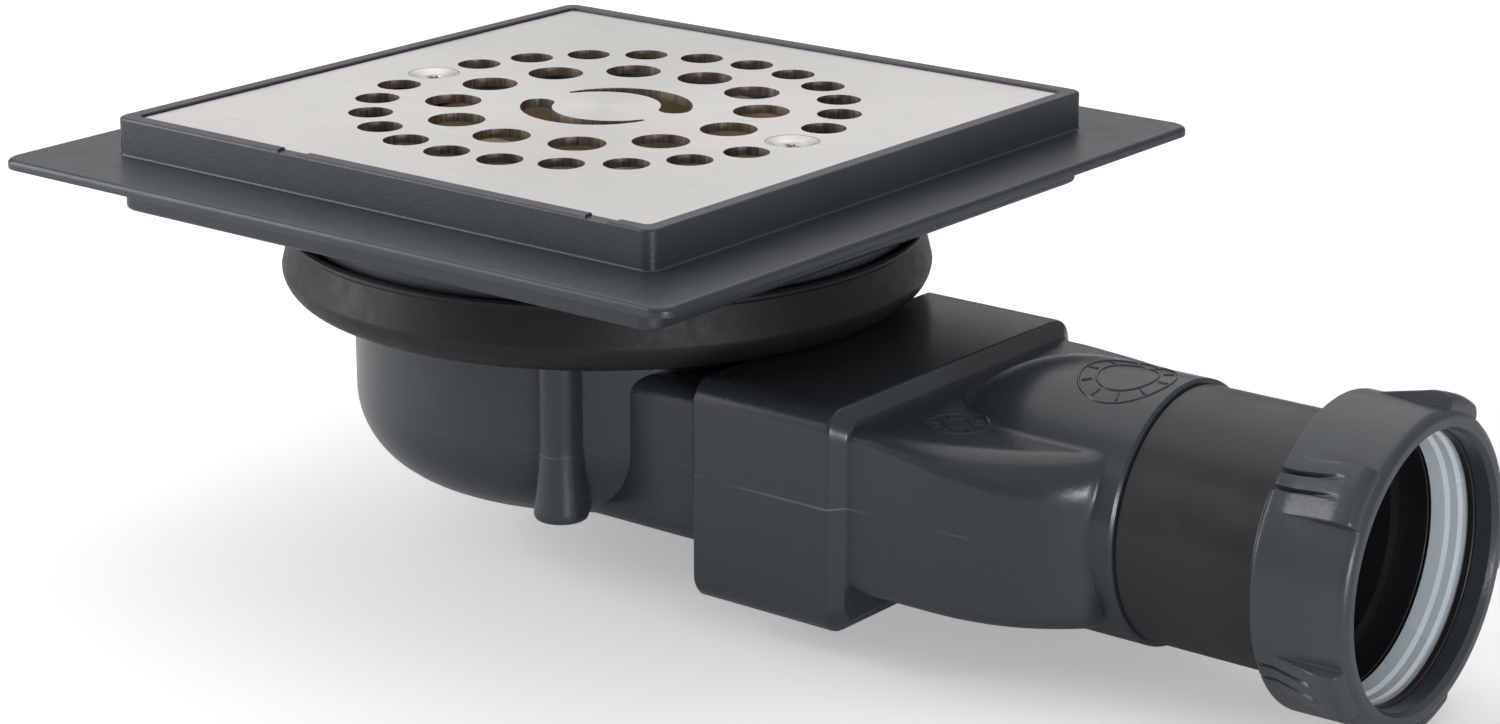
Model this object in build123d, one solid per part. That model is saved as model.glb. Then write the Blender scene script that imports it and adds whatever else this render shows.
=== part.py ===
from build123d import *
import os
from math import cos, sin, radians

# Floor drain with a square stainless grate, a removable water trap and a side outlet.
# Millimetres, +Z up, +X towards the outlet. Heights are measured from the top of the frame's rim;
# everything is moved up by DATUM at export, so that the origin is the centre of the grate's top face.
DATUM = 0.5

# Tile frame
FRAME = 115.0            # outer width of the square rim
FLANGE = 141.9           # width of the thin tiling flange
RIM = 2.7                # width of the rim round the grate
POCKET = FRAME - 2 * RIM
FLANGE_TOP = -6.5
FLANGE_BOTTOM = -8.25
BOX_BOTTOM = -15.8
WALL = 2.4
DECK_T = 2.0
RIB_COUNT = 16
RIB_T = 1.6
RIB_LENGTH = 40.0
RIB_MIDDLE = 58.0
SCALLOP_X = (-17.7, 46.9)
SCALLOP_Y = -FRAME / 2 + RIM / 2 + 0.9
SCALLOP_R = 3.0
NECK_R = 38.8
NECK_IN_R = 36.0
NECK_BOTTOM = -33.0
NECK_COLLAR_R = 46.6     # where the neck's funnel meets the pocket floor
GROOVE_R = 37.6
GROOVE_TOP = -28.9
GROOVE_BOTTOM = -31.6
SEAT_LIP_R = 32.6
SEAT_LIP_T = 2.0
FUNNEL_R = 44.2
FUNNEL_BOTTOM = -13.0
SKIRT_R = 52.0
SKIRT_T = 2.0
SKIRT_BOTTOM = -20.4

# Grate
PLATE = 109.2
PLATE_T = 1.5
PLATE_TOP = -0.5
PLATE_BOTTOM = PLATE_TOP - PLATE_T
DECK = PLATE_BOTTOM - DECK_T
OUTER_RING_R = 39.3
OUTER_HOLE_R = 3.75
OUTER_STEPS = 24
INNER_RING_R = 26.2
INNER_HOLE_R = 4.75
INNER_STEPS = 12
SLOT_R = 11.8            # middle radius of the two curved slots
SLOT_W = 5.4             # their width at the wide end
SLOT_TAPER = 0.85        # share of that width lost by the tip
SLOT_ARC = 137.0

# Grate screws and their inserts, one at each end of the X axis
SCREW_HEAD_R = 4.4
SCREW_R = 1.75
SCREW_LENGTH = 10.5
INSERT_R = 2.4
INSERT_LENGTH = 9.0
BOSS_R = 3.2
BOSS_BOTTOM = -14.5
BOSS_WEB = 6.0

# Bowl
BOWL_R = 43.0
BOWL_IN_R = 41.0
BOWL_BOTTOM = -61.5
FLOOR_T = 2.0
BOWL_EDGE_R = 14.0
FLANGE_RING_R = 49.5
FLANGE_RING_TOP = -26.0
FLANGE_RING_T = 3.0
THROAT_R = 39.6
THROAT_OUT_R = 41.6
THROAT_TOP = -21.0
FOOT_R = 43.4            # circle of the three screw bosses
FOOT_ANGLES = (-60, 60, 180)
FOOT_TOP_D = 7.0
FOOT_BOTTOM_D = 9.2
FOOT_BOTTOM = -59.2
FOOT_FLARE = 13.0        # height over which a foot widens

# Collar, clamp ring and its screws
COLLAR_R = 54.9
COLLAR_IN_R = 52.9
COLLAR_TOP = -19.3
COLLAR_BULGE = -26.0
COLLAR_BOTTOM = -31.35
COLLAR_BOTTOM_R = 48.5
WEB_T = 2.0
RING_T = 3.0
CLAMP_R = 44.4
CLAMP_SCREW_R = 1.5
CLAMP_HEAD_R = 2.9
CLAMP_HEAD_T = 2.2
CLAMP_SCREW_LENGTH = 17.0

# Trap unit
RING_R = 35.6
TUBE_R = 24.0
TUBE_WALL = 1.6
TUBE_BOTTOM = -52.0
RING_FLOOR = NECK_BOTTOM + SEAT_LIP_T + 0.05
RING_TOP = -5.0
CUP_R = 32.0
CUP_WALL = 1.6
CUP_TOP = -38.5
CUP_BOTTOM = -58.6
FIN_ANGLES = (30, 150, 270)
FIN_HEIGHT = 11.0
FIN_Z = -45.0
BAR_W = 5.0
BAR_Z = -12.0
GRIP_LENGTH = 20.0

# Outlet
SPIGOT_W = 61.0
SPIGOT_TOP = -34.1
SPIGOT_BOTTOM = -60.4
SPIGOT_END = 67.0
DUCT_WALL = 2.0
SOCKET_X = 45.0
SOCKET_END = 73.5
SOCKET_W = 66.0
SOCKET_TOP = -31.5
SOCKET_BOTTOM = -63.0
SOCKET_WALL = 2.3
NOSE_W = 61.0
NOSE_TOP = -34.3
NOSE_BOTTOM = -61.3
NOSE_STRAIGHT = 84.0
NOSE_END = 112.0
AXIS_Z = -47.2
HUMP_R = 21.0
HUMP_START = 77.0
HUMP_FULL = 98.0
SLEEVE_END = 115.4
PIPE_R = 20.2
PIPE_IN_R = 18.2
STUB_R = PIPE_R - 1.2    # reduced end of the pipe, inside the adapter's sleeve
PIPE_START = 97.0
THREAD_R = 22.92
THREAD_X = 142.5
MOUTH_X = 151.0
SOCKET_BORE_R = 20.15
BORE_START = 141.0
BORE_END = 146.0
MOUTH_R = 21.9

# Nut, washer and seal
NUT_BACK = 141.3
NUT_FRONT = 157.0
NUT_R = 24.6
NUT_BORE_R = 23.0
NUT_OPENING_R = 20.4
NUT_LIP_T = 3.5
LUG_COUNT = 5
LUG_FIRST = 67.0         # angle of the first lug from +Y towards +Z
LUG_R = 26.5
LUG_HALF_ANGLE = 10.5
WASHER_T = 1.2


ON_BASE = (Align.CENTER, Align.CENTER, Align.MIN)
UNDER_TOP = (Align.CENTER, Align.CENTER, Align.MAX)


def disc(radius, low, high, at=(0, 0)):
    """Upright cylinder from height low to height high."""
    return Pos(at[0], at[1], low) * Cylinder(radius, high - low, align=ON_BASE)


def tube(outer, inner, low, high):
    return disc(outer, low, high) - disc(inner, low - 1, high + 1)


def slab(width, low, high, corner=0.0, depth=None):
    """Upright square or rectangular block, its four vertical edges rounded."""
    outline = Rectangle(width, depth or width)
    if corner:
        outline = fillet(outline.vertices(), corner)
    return Pos(0, 0, low) * extrude(outline, high - low)


def duct(width, low, high, x_start, x_end, corner):
    """Block along X with rounded long edges."""
    outline = RectangleRounded(width, high - low, corner)
    across = Plane(origin=(x_start, 0, (low + high) / 2), x_dir=(0, 1, 0), z_dir=(1, 0, 0))
    return extrude(across * outline, x_end - x_start)


def turned(points):
    """Solid of revolution about Z from (radius, height) points."""
    return revolve(Plane.XZ * make_face(Polyline(*points, close=True)), Axis.Z)


def turned_x(points):
    """Solid of revolution about the outlet's axis from (x, radius) points."""
    outline = make_face(Polyline(*points, close=True))
    return Pos(0, 0, AXIS_Z) * revolve(Plane.XZ * outline, Axis.X)


def polar(radius, angle):
    return radius * cos(radians(angle)), radius * sin(radians(angle))


def curved_slot(start_angle):
    """Tapered arc slot: round and wide at one end, narrowing to a thin tip."""
    outer, inner = [], []
    steps = 14
    for step in range(steps + 1):
        share = step / steps
        angle = start_angle + SLOT_ARC * share
        half = SLOT_W / 2 * (1 - SLOT_TAPER * share ** 2)
        outer.append(polar(SLOT_R + half, angle))
        inner.append(polar(SLOT_R - half, angle))
    edge = Spline(*outer)
    tip = Line(outer[-1], inner[-1])
    back = Spline(*reversed(inner))
    x, y = polar(SLOT_R, start_angle)
    cap_x, cap_y = sin(radians(start_angle)), -cos(radians(start_angle))
    cap = ThreePointArc(inner[0], (x + cap_x * SLOT_W / 2, y + cap_y * SLOT_W / 2), outer[0])
    face = make_face(Curve() + [edge, tip, back, cap])
    return Pos(0, 0, PLATE_BOTTOM - 1) * extrude(face, PLATE_T + 2)


def grate_plate():
    plate = slab(PLATE, PLATE_BOTTOM, PLATE_TOP, 1.0)
    plate = chamfer(plate.faces().sort_by(Axis.Z)[-1].edges(), 0.25)
    cuts = []
    for step in range(OUTER_STEPS):
        at = polar(OUTER_RING_R, step * 360 / OUTER_STEPS)
        if step % (OUTER_STEPS // 2):
            cuts.append(disc(OUTER_HOLE_R, PLATE_BOTTOM - 1, PLATE_TOP + 1, at))
        else:
            sink = Cone(2.0, SCREW_HEAD_R + 0.1, PLATE_T, align=ON_BASE)
            cuts.append(Pos(at[0], at[1], PLATE_BOTTOM) * sink)
    for step in range(INNER_STEPS):
        at = polar(INNER_RING_R, step * 360 / INNER_STEPS)
        cuts.append(disc(INNER_HOLE_R, PLATE_BOTTOM - 1, PLATE_TOP + 1, at))
    cuts.append(curved_slot(205))
    cuts.append(curved_slot(25))
    return plate - cuts


def grate_screw(side):
    """Countersunk screw with a cross recess; side is +1 or -1 along X."""
    head = Cone(SCREW_R + 0.1, SCREW_HEAD_R, PLATE_T - 0.05, align=UNDER_TOP)
    shank = Pos(0, 0, -SCREW_LENGTH) * Cylinder(SCREW_R, SCREW_LENGTH - 1, align=ON_BASE)
    shank = chamfer(shank.edges().sort_by(Axis.Z)[0], 0.6)
    screw = head + shank
    screw -= Box(5.2, 1.0, 2.0) + Box(1.0, 5.2, 2.0)
    return Pos(side * OUTER_RING_R, 0, PLATE_TOP - 0.02) * screw


def frame_inserts():
    """Two knurled brass inserts sunk in the frame's bosses."""
    group = []
    for side in (-1, 1):
        at = (side * OUTER_RING_R, 0)
        top = PLATE_BOTTOM - 0.35
        body = disc(INSERT_R, top - INSERT_LENGTH, top, at)
        waist = disc(INSERT_R + 1, top - 5.2, top - 4.2, at) - disc(INSERT_R - 0.3, top - 6, top - 3, at)
        group.append(body - waist - disc(SCREW_R + 0.05, top - 20, top + 1, at))
    return Compound(group)


def tile_frame():
    """Square rim, tiling flange, pocket floor and what stiffens it from below; the neck is its own node."""
    top = slab(FRAME, FLANGE_BOTTOM, 0, 2.0)
    top = fillet(top.faces().sort_by(Axis.Z)[-1].outer_wire().edges(), 0.5)
    flange = slab(FLANGE, FLANGE_BOTTOM, FLANGE_TOP, 3.0)
    flange = fillet(flange.faces().sort_by(Axis.Z)[-1].edges(), 0.8)
    box = slab(FRAME, BOX_BOTTOM, FLANGE_BOTTOM, 3.0)
    box = chamfer(box.faces().sort_by(Axis.Z)[0].edges(), 0.8)
    body = top + flange + box
    body -= slab(POCKET, PLATE_BOTTOM, 1, 1.2)
    for x in SCALLOP_X:
        body -= Pos(x, SCALLOP_Y, 0.2) * Cylinder(SCALLOP_R, 1.2)
    hollow = slab(FRAME - 2 * WALL, BOX_BOTTOM - 1, DECK, 2.0)
    body -= hollow
    body += hollow & stiffeners()
    body -= disc(NECK_COLLAR_R, DECK - 1, 1)
    return body + tube(SKIRT_R, SKIRT_R - SKIRT_T, SKIRT_BOTTOM, BOX_BOTTOM + 0.5)


def stiffeners():
    """Round skirt and ribs under the pocket floor; the ribs stop at the neck."""
    skirt = tube(SKIRT_R, SKIRT_R - SKIRT_T, BOX_BOTTOM, DECK)
    ribs = []
    for step in range(RIB_COUNT):
        rib = Pos(RIB_MIDDLE, 0, (DECK + BOX_BOTTOM) / 2) * Box(RIB_LENGTH, RIB_T, DECK - BOX_BOTTOM)
        ribs.append(Rot(0, 0, (step + 0.5) * 360 / RIB_COUNT) * rib)
    inside = turned([(0, DECK + 1), (NECK_COLLAR_R, DECK + 1), (NECK_COLLAR_R, DECK), (NECK_R, FUNNEL_BOTTOM),
                     (NECK_R, BOX_BOTTOM - 1), (0, BOX_BOTTOM - 1)])
    return skirt + ribs - inside


def frame_neck():
    """The frame's round neck: funnel, tube with a seal groove, seat for the trap and insert bosses."""
    neck = turned([(FUNNEL_R, PLATE_BOTTOM), (NECK_COLLAR_R, PLATE_BOTTOM), (NECK_COLLAR_R, DECK),
                   (NECK_R, FUNNEL_BOTTOM), (NECK_R, GROOVE_TOP), (GROOVE_R, GROOVE_TOP),
                   (GROOVE_R, GROOVE_BOTTOM), (NECK_R, GROOVE_BOTTOM), (NECK_R, NECK_BOTTOM),
                   (SEAT_LIP_R, NECK_BOTTOM), (SEAT_LIP_R, NECK_BOTTOM + SEAT_LIP_T),
                   (NECK_IN_R, NECK_BOTTOM + SEAT_LIP_T), (NECK_IN_R, FUNNEL_BOTTOM)])
    for side in (-1, 1):
        at = (side * OUTER_RING_R, 0)
        neck += disc(BOSS_R, BOSS_BOTTOM, PLATE_BOTTOM, at)
        web_height = PLATE_BOTTOM - BOSS_BOTTOM
        web = Box(BOSS_WEB, 2 * BOSS_R, web_height)
        neck += Pos(side * (OUTER_RING_R + BOSS_WEB / 2), 0, BOSS_BOTTOM + web_height / 2) * web
        neck -= disc(INSERT_R + 0.03, PLATE_BOTTOM - 0.4 - INSERT_LENGTH, 1, at)
    return neck


def neck_lip_seal():
    """Rubber lip seal in the neck's groove; its lip wipes the bowl's throat."""
    low = GROOVE_BOTTOM + 0.1
    high = GROOVE_TOP - 0.1
    root = GROOVE_R + 0.05
    lip = THROAT_R - 0.05
    return turned([(root, low), (NECK_R, low), (lip, low + 0.9), (lip, high - 0.9), (NECK_R, high - 0.6),
                   (NECK_R, high), (root, high)])


def bowl_profile(radius, bottom, edge, top):
    """Half section of the bowl's body with a round bottom edge."""
    floor = radius - edge
    side = Line((radius, top), (radius, bottom + edge))
    middle = (floor + edge * cos(radians(45)), bottom + edge * (1 - sin(radians(45))))
    turn = ThreePointArc((radius, bottom + edge), middle, (floor, bottom))
    base = Polyline((floor, bottom), (0, bottom), (0, top), (radius, top))
    return revolve(Plane.XZ * make_face(Curve() + [side, turn, base]), Axis.Z)


def foot(angle):
    """Screw boss on the bowl's side, flared towards the floor."""
    x, y = polar(FOOT_R, angle)
    straight = disc(FOOT_TOP_D / 2, FOOT_BOTTOM, FLANGE_RING_TOP - 1, (x, y))
    flare = Cone(FOOT_BOTTOM_D / 2, FOOT_TOP_D / 2, FOOT_FLARE, align=ON_BASE)
    flare = fillet(flare.edges().sort_by(Axis.Z)[0], 1.2)
    return straight + Pos(x, y, FOOT_BOTTOM) * flare


def trap_bowl():
    flange_bottom = FLANGE_RING_TOP - FLANGE_RING_T
    body = bowl_profile(BOWL_R, BOWL_BOTTOM, BOWL_EDGE_R, flange_bottom)
    body += disc(FLANGE_RING_R, flange_bottom, FLANGE_RING_TOP)
    body += disc(THROAT_OUT_R, FLANGE_RING_TOP, THROAT_TOP)
    for angle in FOOT_ANGLES:
        body += foot(angle)
    body += duct(SPIGOT_W, SPIGOT_BOTTOM, SPIGOT_TOP, 20, SPIGOT_END, 3.5)
    body -= bowl_profile(BOWL_IN_R, BOWL_BOTTOM + FLOOR_T, BOWL_EDGE_R - FLOOR_T, flange_bottom - 3)
    body -= disc(THROAT_R, flange_bottom - 4, THROAT_TOP + 1)
    body -= duct(SPIGOT_W - 2 * DUCT_WALL, SPIGOT_BOTTOM + DUCT_WALL, SPIGOT_TOP - DUCT_WALL,
                 25, SPIGOT_END + 1, 2.0)
    for angle in FOOT_ANGLES:
        at = polar(CLAMP_R, angle)
        body -= disc(CLAMP_SCREW_R + 0.05, THROAT_TOP - CLAMP_SCREW_LENGTH - 1, FLANGE_RING_TOP + 1, at)
    return body


def collar_profile():
    """Half section of the collar's outside: upright rim, then a round belly down to the bowl."""
    rim = Line((COLLAR_R, COLLAR_TOP), (COLLAR_R, COLLAR_BULGE))
    belly_r = COLLAR_R - COLLAR_BOTTOM_R
    belly_h = COLLAR_BULGE - COLLAR_BOTTOM
    middle = (COLLAR_BOTTOM_R + belly_r * cos(radians(45)), COLLAR_BULGE - belly_h * sin(radians(45)))
    ends = (COLLAR_R, COLLAR_BULGE), (COLLAR_BOTTOM_R, COLLAR_BOTTOM)
    belly = Spline(ends[0], middle, ends[1], tangents=((0, -1), (-1, 0)))
    close = Polyline(ends[1], (0, COLLAR_BOTTOM), (0, COLLAR_TOP), (COLLAR_R, COLLAR_TOP))
    return revolve(Plane.XZ * make_face(Curve() + [rim, belly, close]), Axis.Z)


def rubber_collar():
    body = collar_profile()
    body -= disc(COLLAR_IN_R, FLANGE_RING_TOP + WEB_T, 0)
    body -= disc(THROAT_OUT_R + 0.05, COLLAR_BOTTOM - 1, 0)
    body -= disc(BOWL_R + 0.05, COLLAR_BOTTOM - 1, FLANGE_RING_TOP)
    body -= disc(FLANGE_RING_R + 0.05, FLANGE_RING_TOP - FLANGE_RING_T, FLANGE_RING_TOP)
    for angle in FOOT_ANGLES:
        body -= disc(CLAMP_SCREW_R + 0.1, -30, 0, polar(CLAMP_R, angle))
        body -= disc(FOOT_TOP_D / 2 + 0.1, COLLAR_BOTTOM - 1, FLANGE_RING_TOP, polar(FOOT_R, angle))
    cut_top = FLANGE_RING_TOP - FLANGE_RING_T
    hole = duct(SPIGOT_W + 0.3, SPIGOT_BOTTOM, SPIGOT_TOP + 0.15, 20, SPIGOT_END, 3.5)
    body -= hole & disc(80, -40, cut_top)
    return body


def clamp_ring():
    low = FLANGE_RING_TOP + WEB_T
    ring = tube(FLANGE_RING_R + 0.3, THROAT_OUT_R + 0.1, low, low + RING_T)
    ring = chamfer(ring.faces().sort_by(Axis.Z)[-1].outer_wire().edges(), 0.6)
    for angle in FOOT_ANGLES:
        ring -= disc(CLAMP_SCREW_R + 0.1, low - 1, low + RING_T + 1, polar(CLAMP_R, angle))
    return ring


def clamp_screws():
    group = []
    for angle in FOOT_ANGLES:
        at = polar(CLAMP_R, angle)
        head = disc(CLAMP_HEAD_R, THROAT_TOP + 0.05, THROAT_TOP + CLAMP_HEAD_T, at)
        head = fillet(head.edges().sort_by(Axis.Z)[-1], 0.9)
        shank = disc(CLAMP_SCREW_R, THROAT_TOP - CLAMP_SCREW_LENGTH, THROAT_TOP + 0.5, at)
        cross = Pos(at[0], at[1], THROAT_TOP + CLAMP_HEAD_T) * (Box(3.4, 0.8, 2.2) + Box(0.8, 3.4, 2.2))
        group.append(head + shank - cross)
    return Compound(group)


def trap_ring():
    """Trap insert's seating ring: O-ring groove, sloping floor and the bar that it is lifted by."""
    floor = RING_FLOOR
    body = turned([(RING_R, floor), (RING_R, floor + 7), (RING_R - 0.4, floor + 7), (RING_R - 0.4, RING_TOP),
                   (RING_R - 1.8, RING_TOP), (RING_R - 1.8, floor + 5), (TUBE_R - TUBE_WALL, floor + 1),
                   (TUBE_R - TUBE_WALL, floor)])
    body -= tube(RING_R + 1, RING_R - 1.25, floor + 2, floor + 4)
    bar = Pos(0, 0, BAR_Z) * Box(2 * RING_R - 3, BAR_W, 3)
    bar += Pos(0, 0, BAR_Z + 1.5) * Box(GRIP_LENGTH, BAR_W, 2)
    return body + (bar & disc(RING_R - 1, -20, -2))


def dip_tube():
    return tube(TUBE_R, TUBE_R - TUBE_WALL, TUBE_BOTTOM, RING_FLOOR)


def trap_cup():
    """Cup round the dip tube's end; three fins inside it grip the tube."""
    outer = disc(CUP_R, CUP_BOTTOM, CUP_TOP)
    outer = fillet(outer.edges().sort_by(Axis.Z)[0], 4.0)
    inner = disc(CUP_R - CUP_WALL, CUP_BOTTOM + CUP_WALL, CUP_TOP + 1)
    inner = fillet(inner.edges().sort_by(Axis.Z)[0], 2.6)
    cup = outer - inner
    fin_length = CUP_R - CUP_WALL - TUBE_R + 0.2
    for angle in FIN_ANGLES:
        fin = Pos(TUBE_R + 0.1 + fin_length / 2, 0, FIN_Z) * Box(fin_length, 1.6, FIN_HEIGHT)
        cup += Rot(0, 0, angle) * fin
    return cup


def trap_o_ring():
    low = RING_FLOOR + 2.05
    ring = tube(NECK_IN_R - 0.05, RING_R - 1.2, low, low + 1.9)
    return chamfer(ring.faces().sort_by(Axis.Z)[-1].outer_wire().edges(), 0.4)


def spigot_seal():
    """Rubber profile between the spigot and the socket."""
    wall = SOCKET_WALL + 0.02
    outer = duct(SOCKET_W - 2 * wall, SOCKET_BOTTOM + wall, SOCKET_TOP - wall,
                 SPIGOT_END + 0.1, SPIGOT_END + 2.4, 3.0)
    inner = duct(SPIGOT_W - 2 * DUCT_WALL, SPIGOT_BOTTOM + DUCT_WALL, SPIGOT_TOP - DUCT_WALL,
                 SPIGOT_END, SPIGOT_END + 3, 2.0)
    return outer - inner


def nose_block(width, low, high, shrink, x_start):
    """Body between socket and pipe: straight sides, then a long curve in to the pipe's side."""
    half = width / 2
    tip = HUMP_R - 1.5 - shrink
    end = NOSE_END - shrink
    bow = (NOSE_STRAIGHT + 19, half - 3.0)
    near = ThreePointArc((NOSE_STRAIGHT, -half), (bow[0], -bow[1]), (end, -tip))
    far = ThreePointArc((end, tip), (bow[0], bow[1]), (NOSE_STRAIGHT, half))
    rest = [Line((x_start, half), (x_start, -half)), Line((x_start, -half), (NOSE_STRAIGHT, -half)),
            Line((end, -tip), (end, tip)), Line((NOSE_STRAIGHT, half), (x_start, half))]
    face = make_face(Curve() + [near, far] + rest)
    block = Pos(0, 0, low) * extrude(face, high - low)
    if shrink == 0:
        rims = block.faces().filter_by(Axis.Z).edges()
        sides = rims.filter_by(lambda edge: x_start + 1 < edge.center().X < end - 1)
        block = fillet(sides, 2.6)
    return block


def outlet_adapter():
    socket = duct(SOCKET_W, SOCKET_BOTTOM, SOCKET_TOP, SOCKET_X, SOCKET_END, 4.0)
    socket = fillet(socket.faces().sort_by(Axis.X)[-1].edges(), 1.2)
    body = socket + nose_block(NOSE_W, NOSE_BOTTOM, NOSE_TOP, 0, SOCKET_END - 3)
    hump = [(SOCKET_END - 2, 0), (SOCKET_END - 2, 10.0), (HUMP_START, 12.4), (HUMP_START + 5, 16.4),
            (HUMP_START + 10, 18.8), (HUMP_START + 16, 20.4), (HUMP_FULL, HUMP_R), (SLEEVE_END, HUMP_R),
            (SLEEVE_END, 0)]
    body += turned_x(hump)
    body -= duct(SOCKET_W - 2 * SOCKET_WALL, SOCKET_BOTTOM + SOCKET_WALL, SOCKET_TOP - SOCKET_WALL,
                 SOCKET_X - 1, SPIGOT_END + 2.5, 3.0)
    body -= nose_block(NOSE_W - 2 * DUCT_WALL - 1, NOSE_BOTTOM + DUCT_WALL, NOSE_TOP - DUCT_WALL,
                       18, SPIGOT_END)
    past = SLEEVE_END + 1
    body -= turned_x([(HUMP_START + 4, 0), (HUMP_START + 4, 12.0), (HUMP_FULL - 2, PIPE_IN_R),
                      (past, PIPE_IN_R), (past, 0)])
    body -= turned_x([(PIPE_START, 0), (PIPE_START, STUB_R), (past, STUB_R), (past, 0)])
    return body


def outlet_pipe():
    """Pipe stub: its reduced end sits in the adapter, its threaded mouth under the nut."""
    inside = PIPE_IN_R - 0.6
    groove = PIPE_R - 0.35
    return turned_x([(PIPE_START, inside), (PIPE_START, STUB_R), (SLEEVE_END, STUB_R), (SLEEVE_END, groove),
                     (SLEEVE_END + 0.5, groove), (SLEEVE_END + 0.7, PIPE_R), (THREAD_X - 3.5, PIPE_R),
                     (THREAD_X, THREAD_R), (MOUTH_X, THREAD_R), (MOUTH_X, MOUTH_R), (BORE_END, MOUTH_R - 1.0),
                     (BORE_END, SOCKET_BORE_R), (BORE_START, SOCKET_BORE_R), (BORE_START, inside)])


def cone_seal():
    """Translucent tapered seal with a stepped inside, seated in the pipe's mouth."""
    back = BORE_END + 0.4
    rim = MOUTH_X + WASHER_T
    return turned_x([(back, 20.25), (back, MOUTH_R - 1.02), (MOUTH_X, MOUTH_R - 0.1), (MOUTH_X + 0.05, 22.6),
                     (rim, 22.6), (rim, 21.2), (MOUTH_X - 0.3, 21.0), (MOUTH_X - 0.3, 20.75),
                     (MOUTH_X - 2.3, 20.6), (MOUTH_X - 2.3, 20.3)])


def thrust_washer():
    low = MOUTH_X + 1.2
    return turned_x([(low, 20.9), (low, 22.7), (low + WASHER_T, 22.7), (low + WASHER_T, 20.9)])


def lug(angle):
    """Grip lug: a wedge that rises from the nut's back to its front."""
    width = 2 * LUG_R * sin(radians(LUG_HALF_ANGLE))
    root = NUT_BORE_R + 0.8
    back, front = NUT_BACK + 3, NUT_FRONT - 0.6
    side = Polyline((back, root), (back, NUT_R - 0.2), (NUT_FRONT - 4, LUG_R), (front - 0.6, LUG_R),
                    (front, LUG_R - 0.6), (front, root), close=True)
    wedge = Pos(0, width / 2, 0) * extrude(Plane.XZ * make_face(side), width)
    return Pos(0, 0, AXIS_Z) * Rot(angle - 90, 0, 0) * wedge


def compression_nut():
    lip = NUT_FRONT - NUT_LIP_T
    body = turned_x([(NUT_BACK, NUT_BORE_R), (NUT_BACK, NUT_R - 0.5), (NUT_BACK + 0.5, NUT_R),
                     (NUT_FRONT - 1.6, NUT_R - 0.2), (NUT_FRONT - 0.4, NUT_R - 1.0), (NUT_FRONT, NUT_R - 1.6),
                     (NUT_FRONT, NUT_OPENING_R + 0.6), (NUT_FRONT - 0.6, NUT_OPENING_R),
                     (lip, NUT_OPENING_R), (lip, NUT_BORE_R)])
    for step in range(LUG_COUNT):
        body += lug(LUG_FIRST + step * 360 / LUG_COUNT)
    return body


def write(node, shape):
    export_step(Pos(0, 0, DATUM) * shape, "parts/" + node + ".step")


os.makedirs("parts", exist_ok=True)
write("trap_bowl", trap_bowl())
write("rubber_collar", rubber_collar())
write("clamp_ring", clamp_ring())
write("clamp_screws", clamp_screws())
write("spigot_seal", spigot_seal())
write("outlet_adapter", outlet_adapter())
write("outlet_pipe", outlet_pipe())
write("neck_lip_seal", neck_lip_seal())
write("tile_frame", tile_frame())
write("frame_neck", frame_neck())
write("frame_inserts", frame_inserts())
write("grate_plate", grate_plate())
write("grate_screw_left", grate_screw(-1))
write("grate_screw_right", grate_screw(1))
write("trap_ring", trap_ring())
write("dip_tube", dip_tube())
write("trap_cup", trap_cup())
write("trap_o_ring", trap_o_ring())
write("cone_seal", cone_seal())
write("thrust_washer", thrust_washer())
write("compression_nut", compression_nut())
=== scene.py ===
from math import atan2, cos, pi, radians, sin, sqrt, tan
import bmesh
import bpy
from mathutils import Matrix, Vector


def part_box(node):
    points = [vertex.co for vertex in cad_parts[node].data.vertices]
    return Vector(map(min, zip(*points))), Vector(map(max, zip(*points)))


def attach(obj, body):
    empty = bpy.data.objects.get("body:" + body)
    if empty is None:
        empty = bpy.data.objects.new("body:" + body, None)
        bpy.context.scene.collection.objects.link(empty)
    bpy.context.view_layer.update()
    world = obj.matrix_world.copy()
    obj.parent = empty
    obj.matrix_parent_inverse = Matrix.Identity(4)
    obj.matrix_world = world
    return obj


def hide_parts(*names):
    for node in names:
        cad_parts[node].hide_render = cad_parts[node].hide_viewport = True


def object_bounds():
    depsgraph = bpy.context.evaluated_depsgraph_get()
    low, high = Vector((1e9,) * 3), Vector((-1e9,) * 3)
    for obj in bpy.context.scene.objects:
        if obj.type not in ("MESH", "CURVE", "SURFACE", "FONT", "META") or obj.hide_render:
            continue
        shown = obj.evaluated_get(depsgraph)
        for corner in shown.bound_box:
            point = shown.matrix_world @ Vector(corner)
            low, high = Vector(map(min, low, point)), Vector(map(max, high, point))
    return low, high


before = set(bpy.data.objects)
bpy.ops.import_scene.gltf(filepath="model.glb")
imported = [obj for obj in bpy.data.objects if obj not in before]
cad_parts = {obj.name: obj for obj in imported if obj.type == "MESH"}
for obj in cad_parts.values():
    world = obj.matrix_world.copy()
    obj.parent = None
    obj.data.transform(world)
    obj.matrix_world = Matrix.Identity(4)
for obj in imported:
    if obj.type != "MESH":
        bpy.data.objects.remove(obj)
cad_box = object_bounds()

# ---------------------------------------------------------------------------------------------
# Studio: a wide pale floor under the lowest point of the outlet, broad soft lights from above,
# behind and the left, a low strip that rakes the outlet end, and the low view from the outlet side.
scene = bpy.context.scene
rim_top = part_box("tile_frame")[1].z


def feed(tree, node, sockets):
    """Fills a node's sockets with values, with other sockets or with other nodes' first outputs."""
    for label, value in dict(sockets).items():
        if isinstance(value, bpy.types.Node):
            value = value.outputs[0]
        if isinstance(value, bpy.types.NodeSocket):
            tree.links.new(value, node.inputs[label])
        else:
            node.inputs[label].default_value = value
    return node


def put(tree, kind, sockets=(), **options):
    """Adds a node, sets its options and fills its sockets."""
    node = tree.nodes.new(kind)
    for option, value in options.items():
        setattr(node, option, value)
    return feed(tree, node, sockets)


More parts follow.
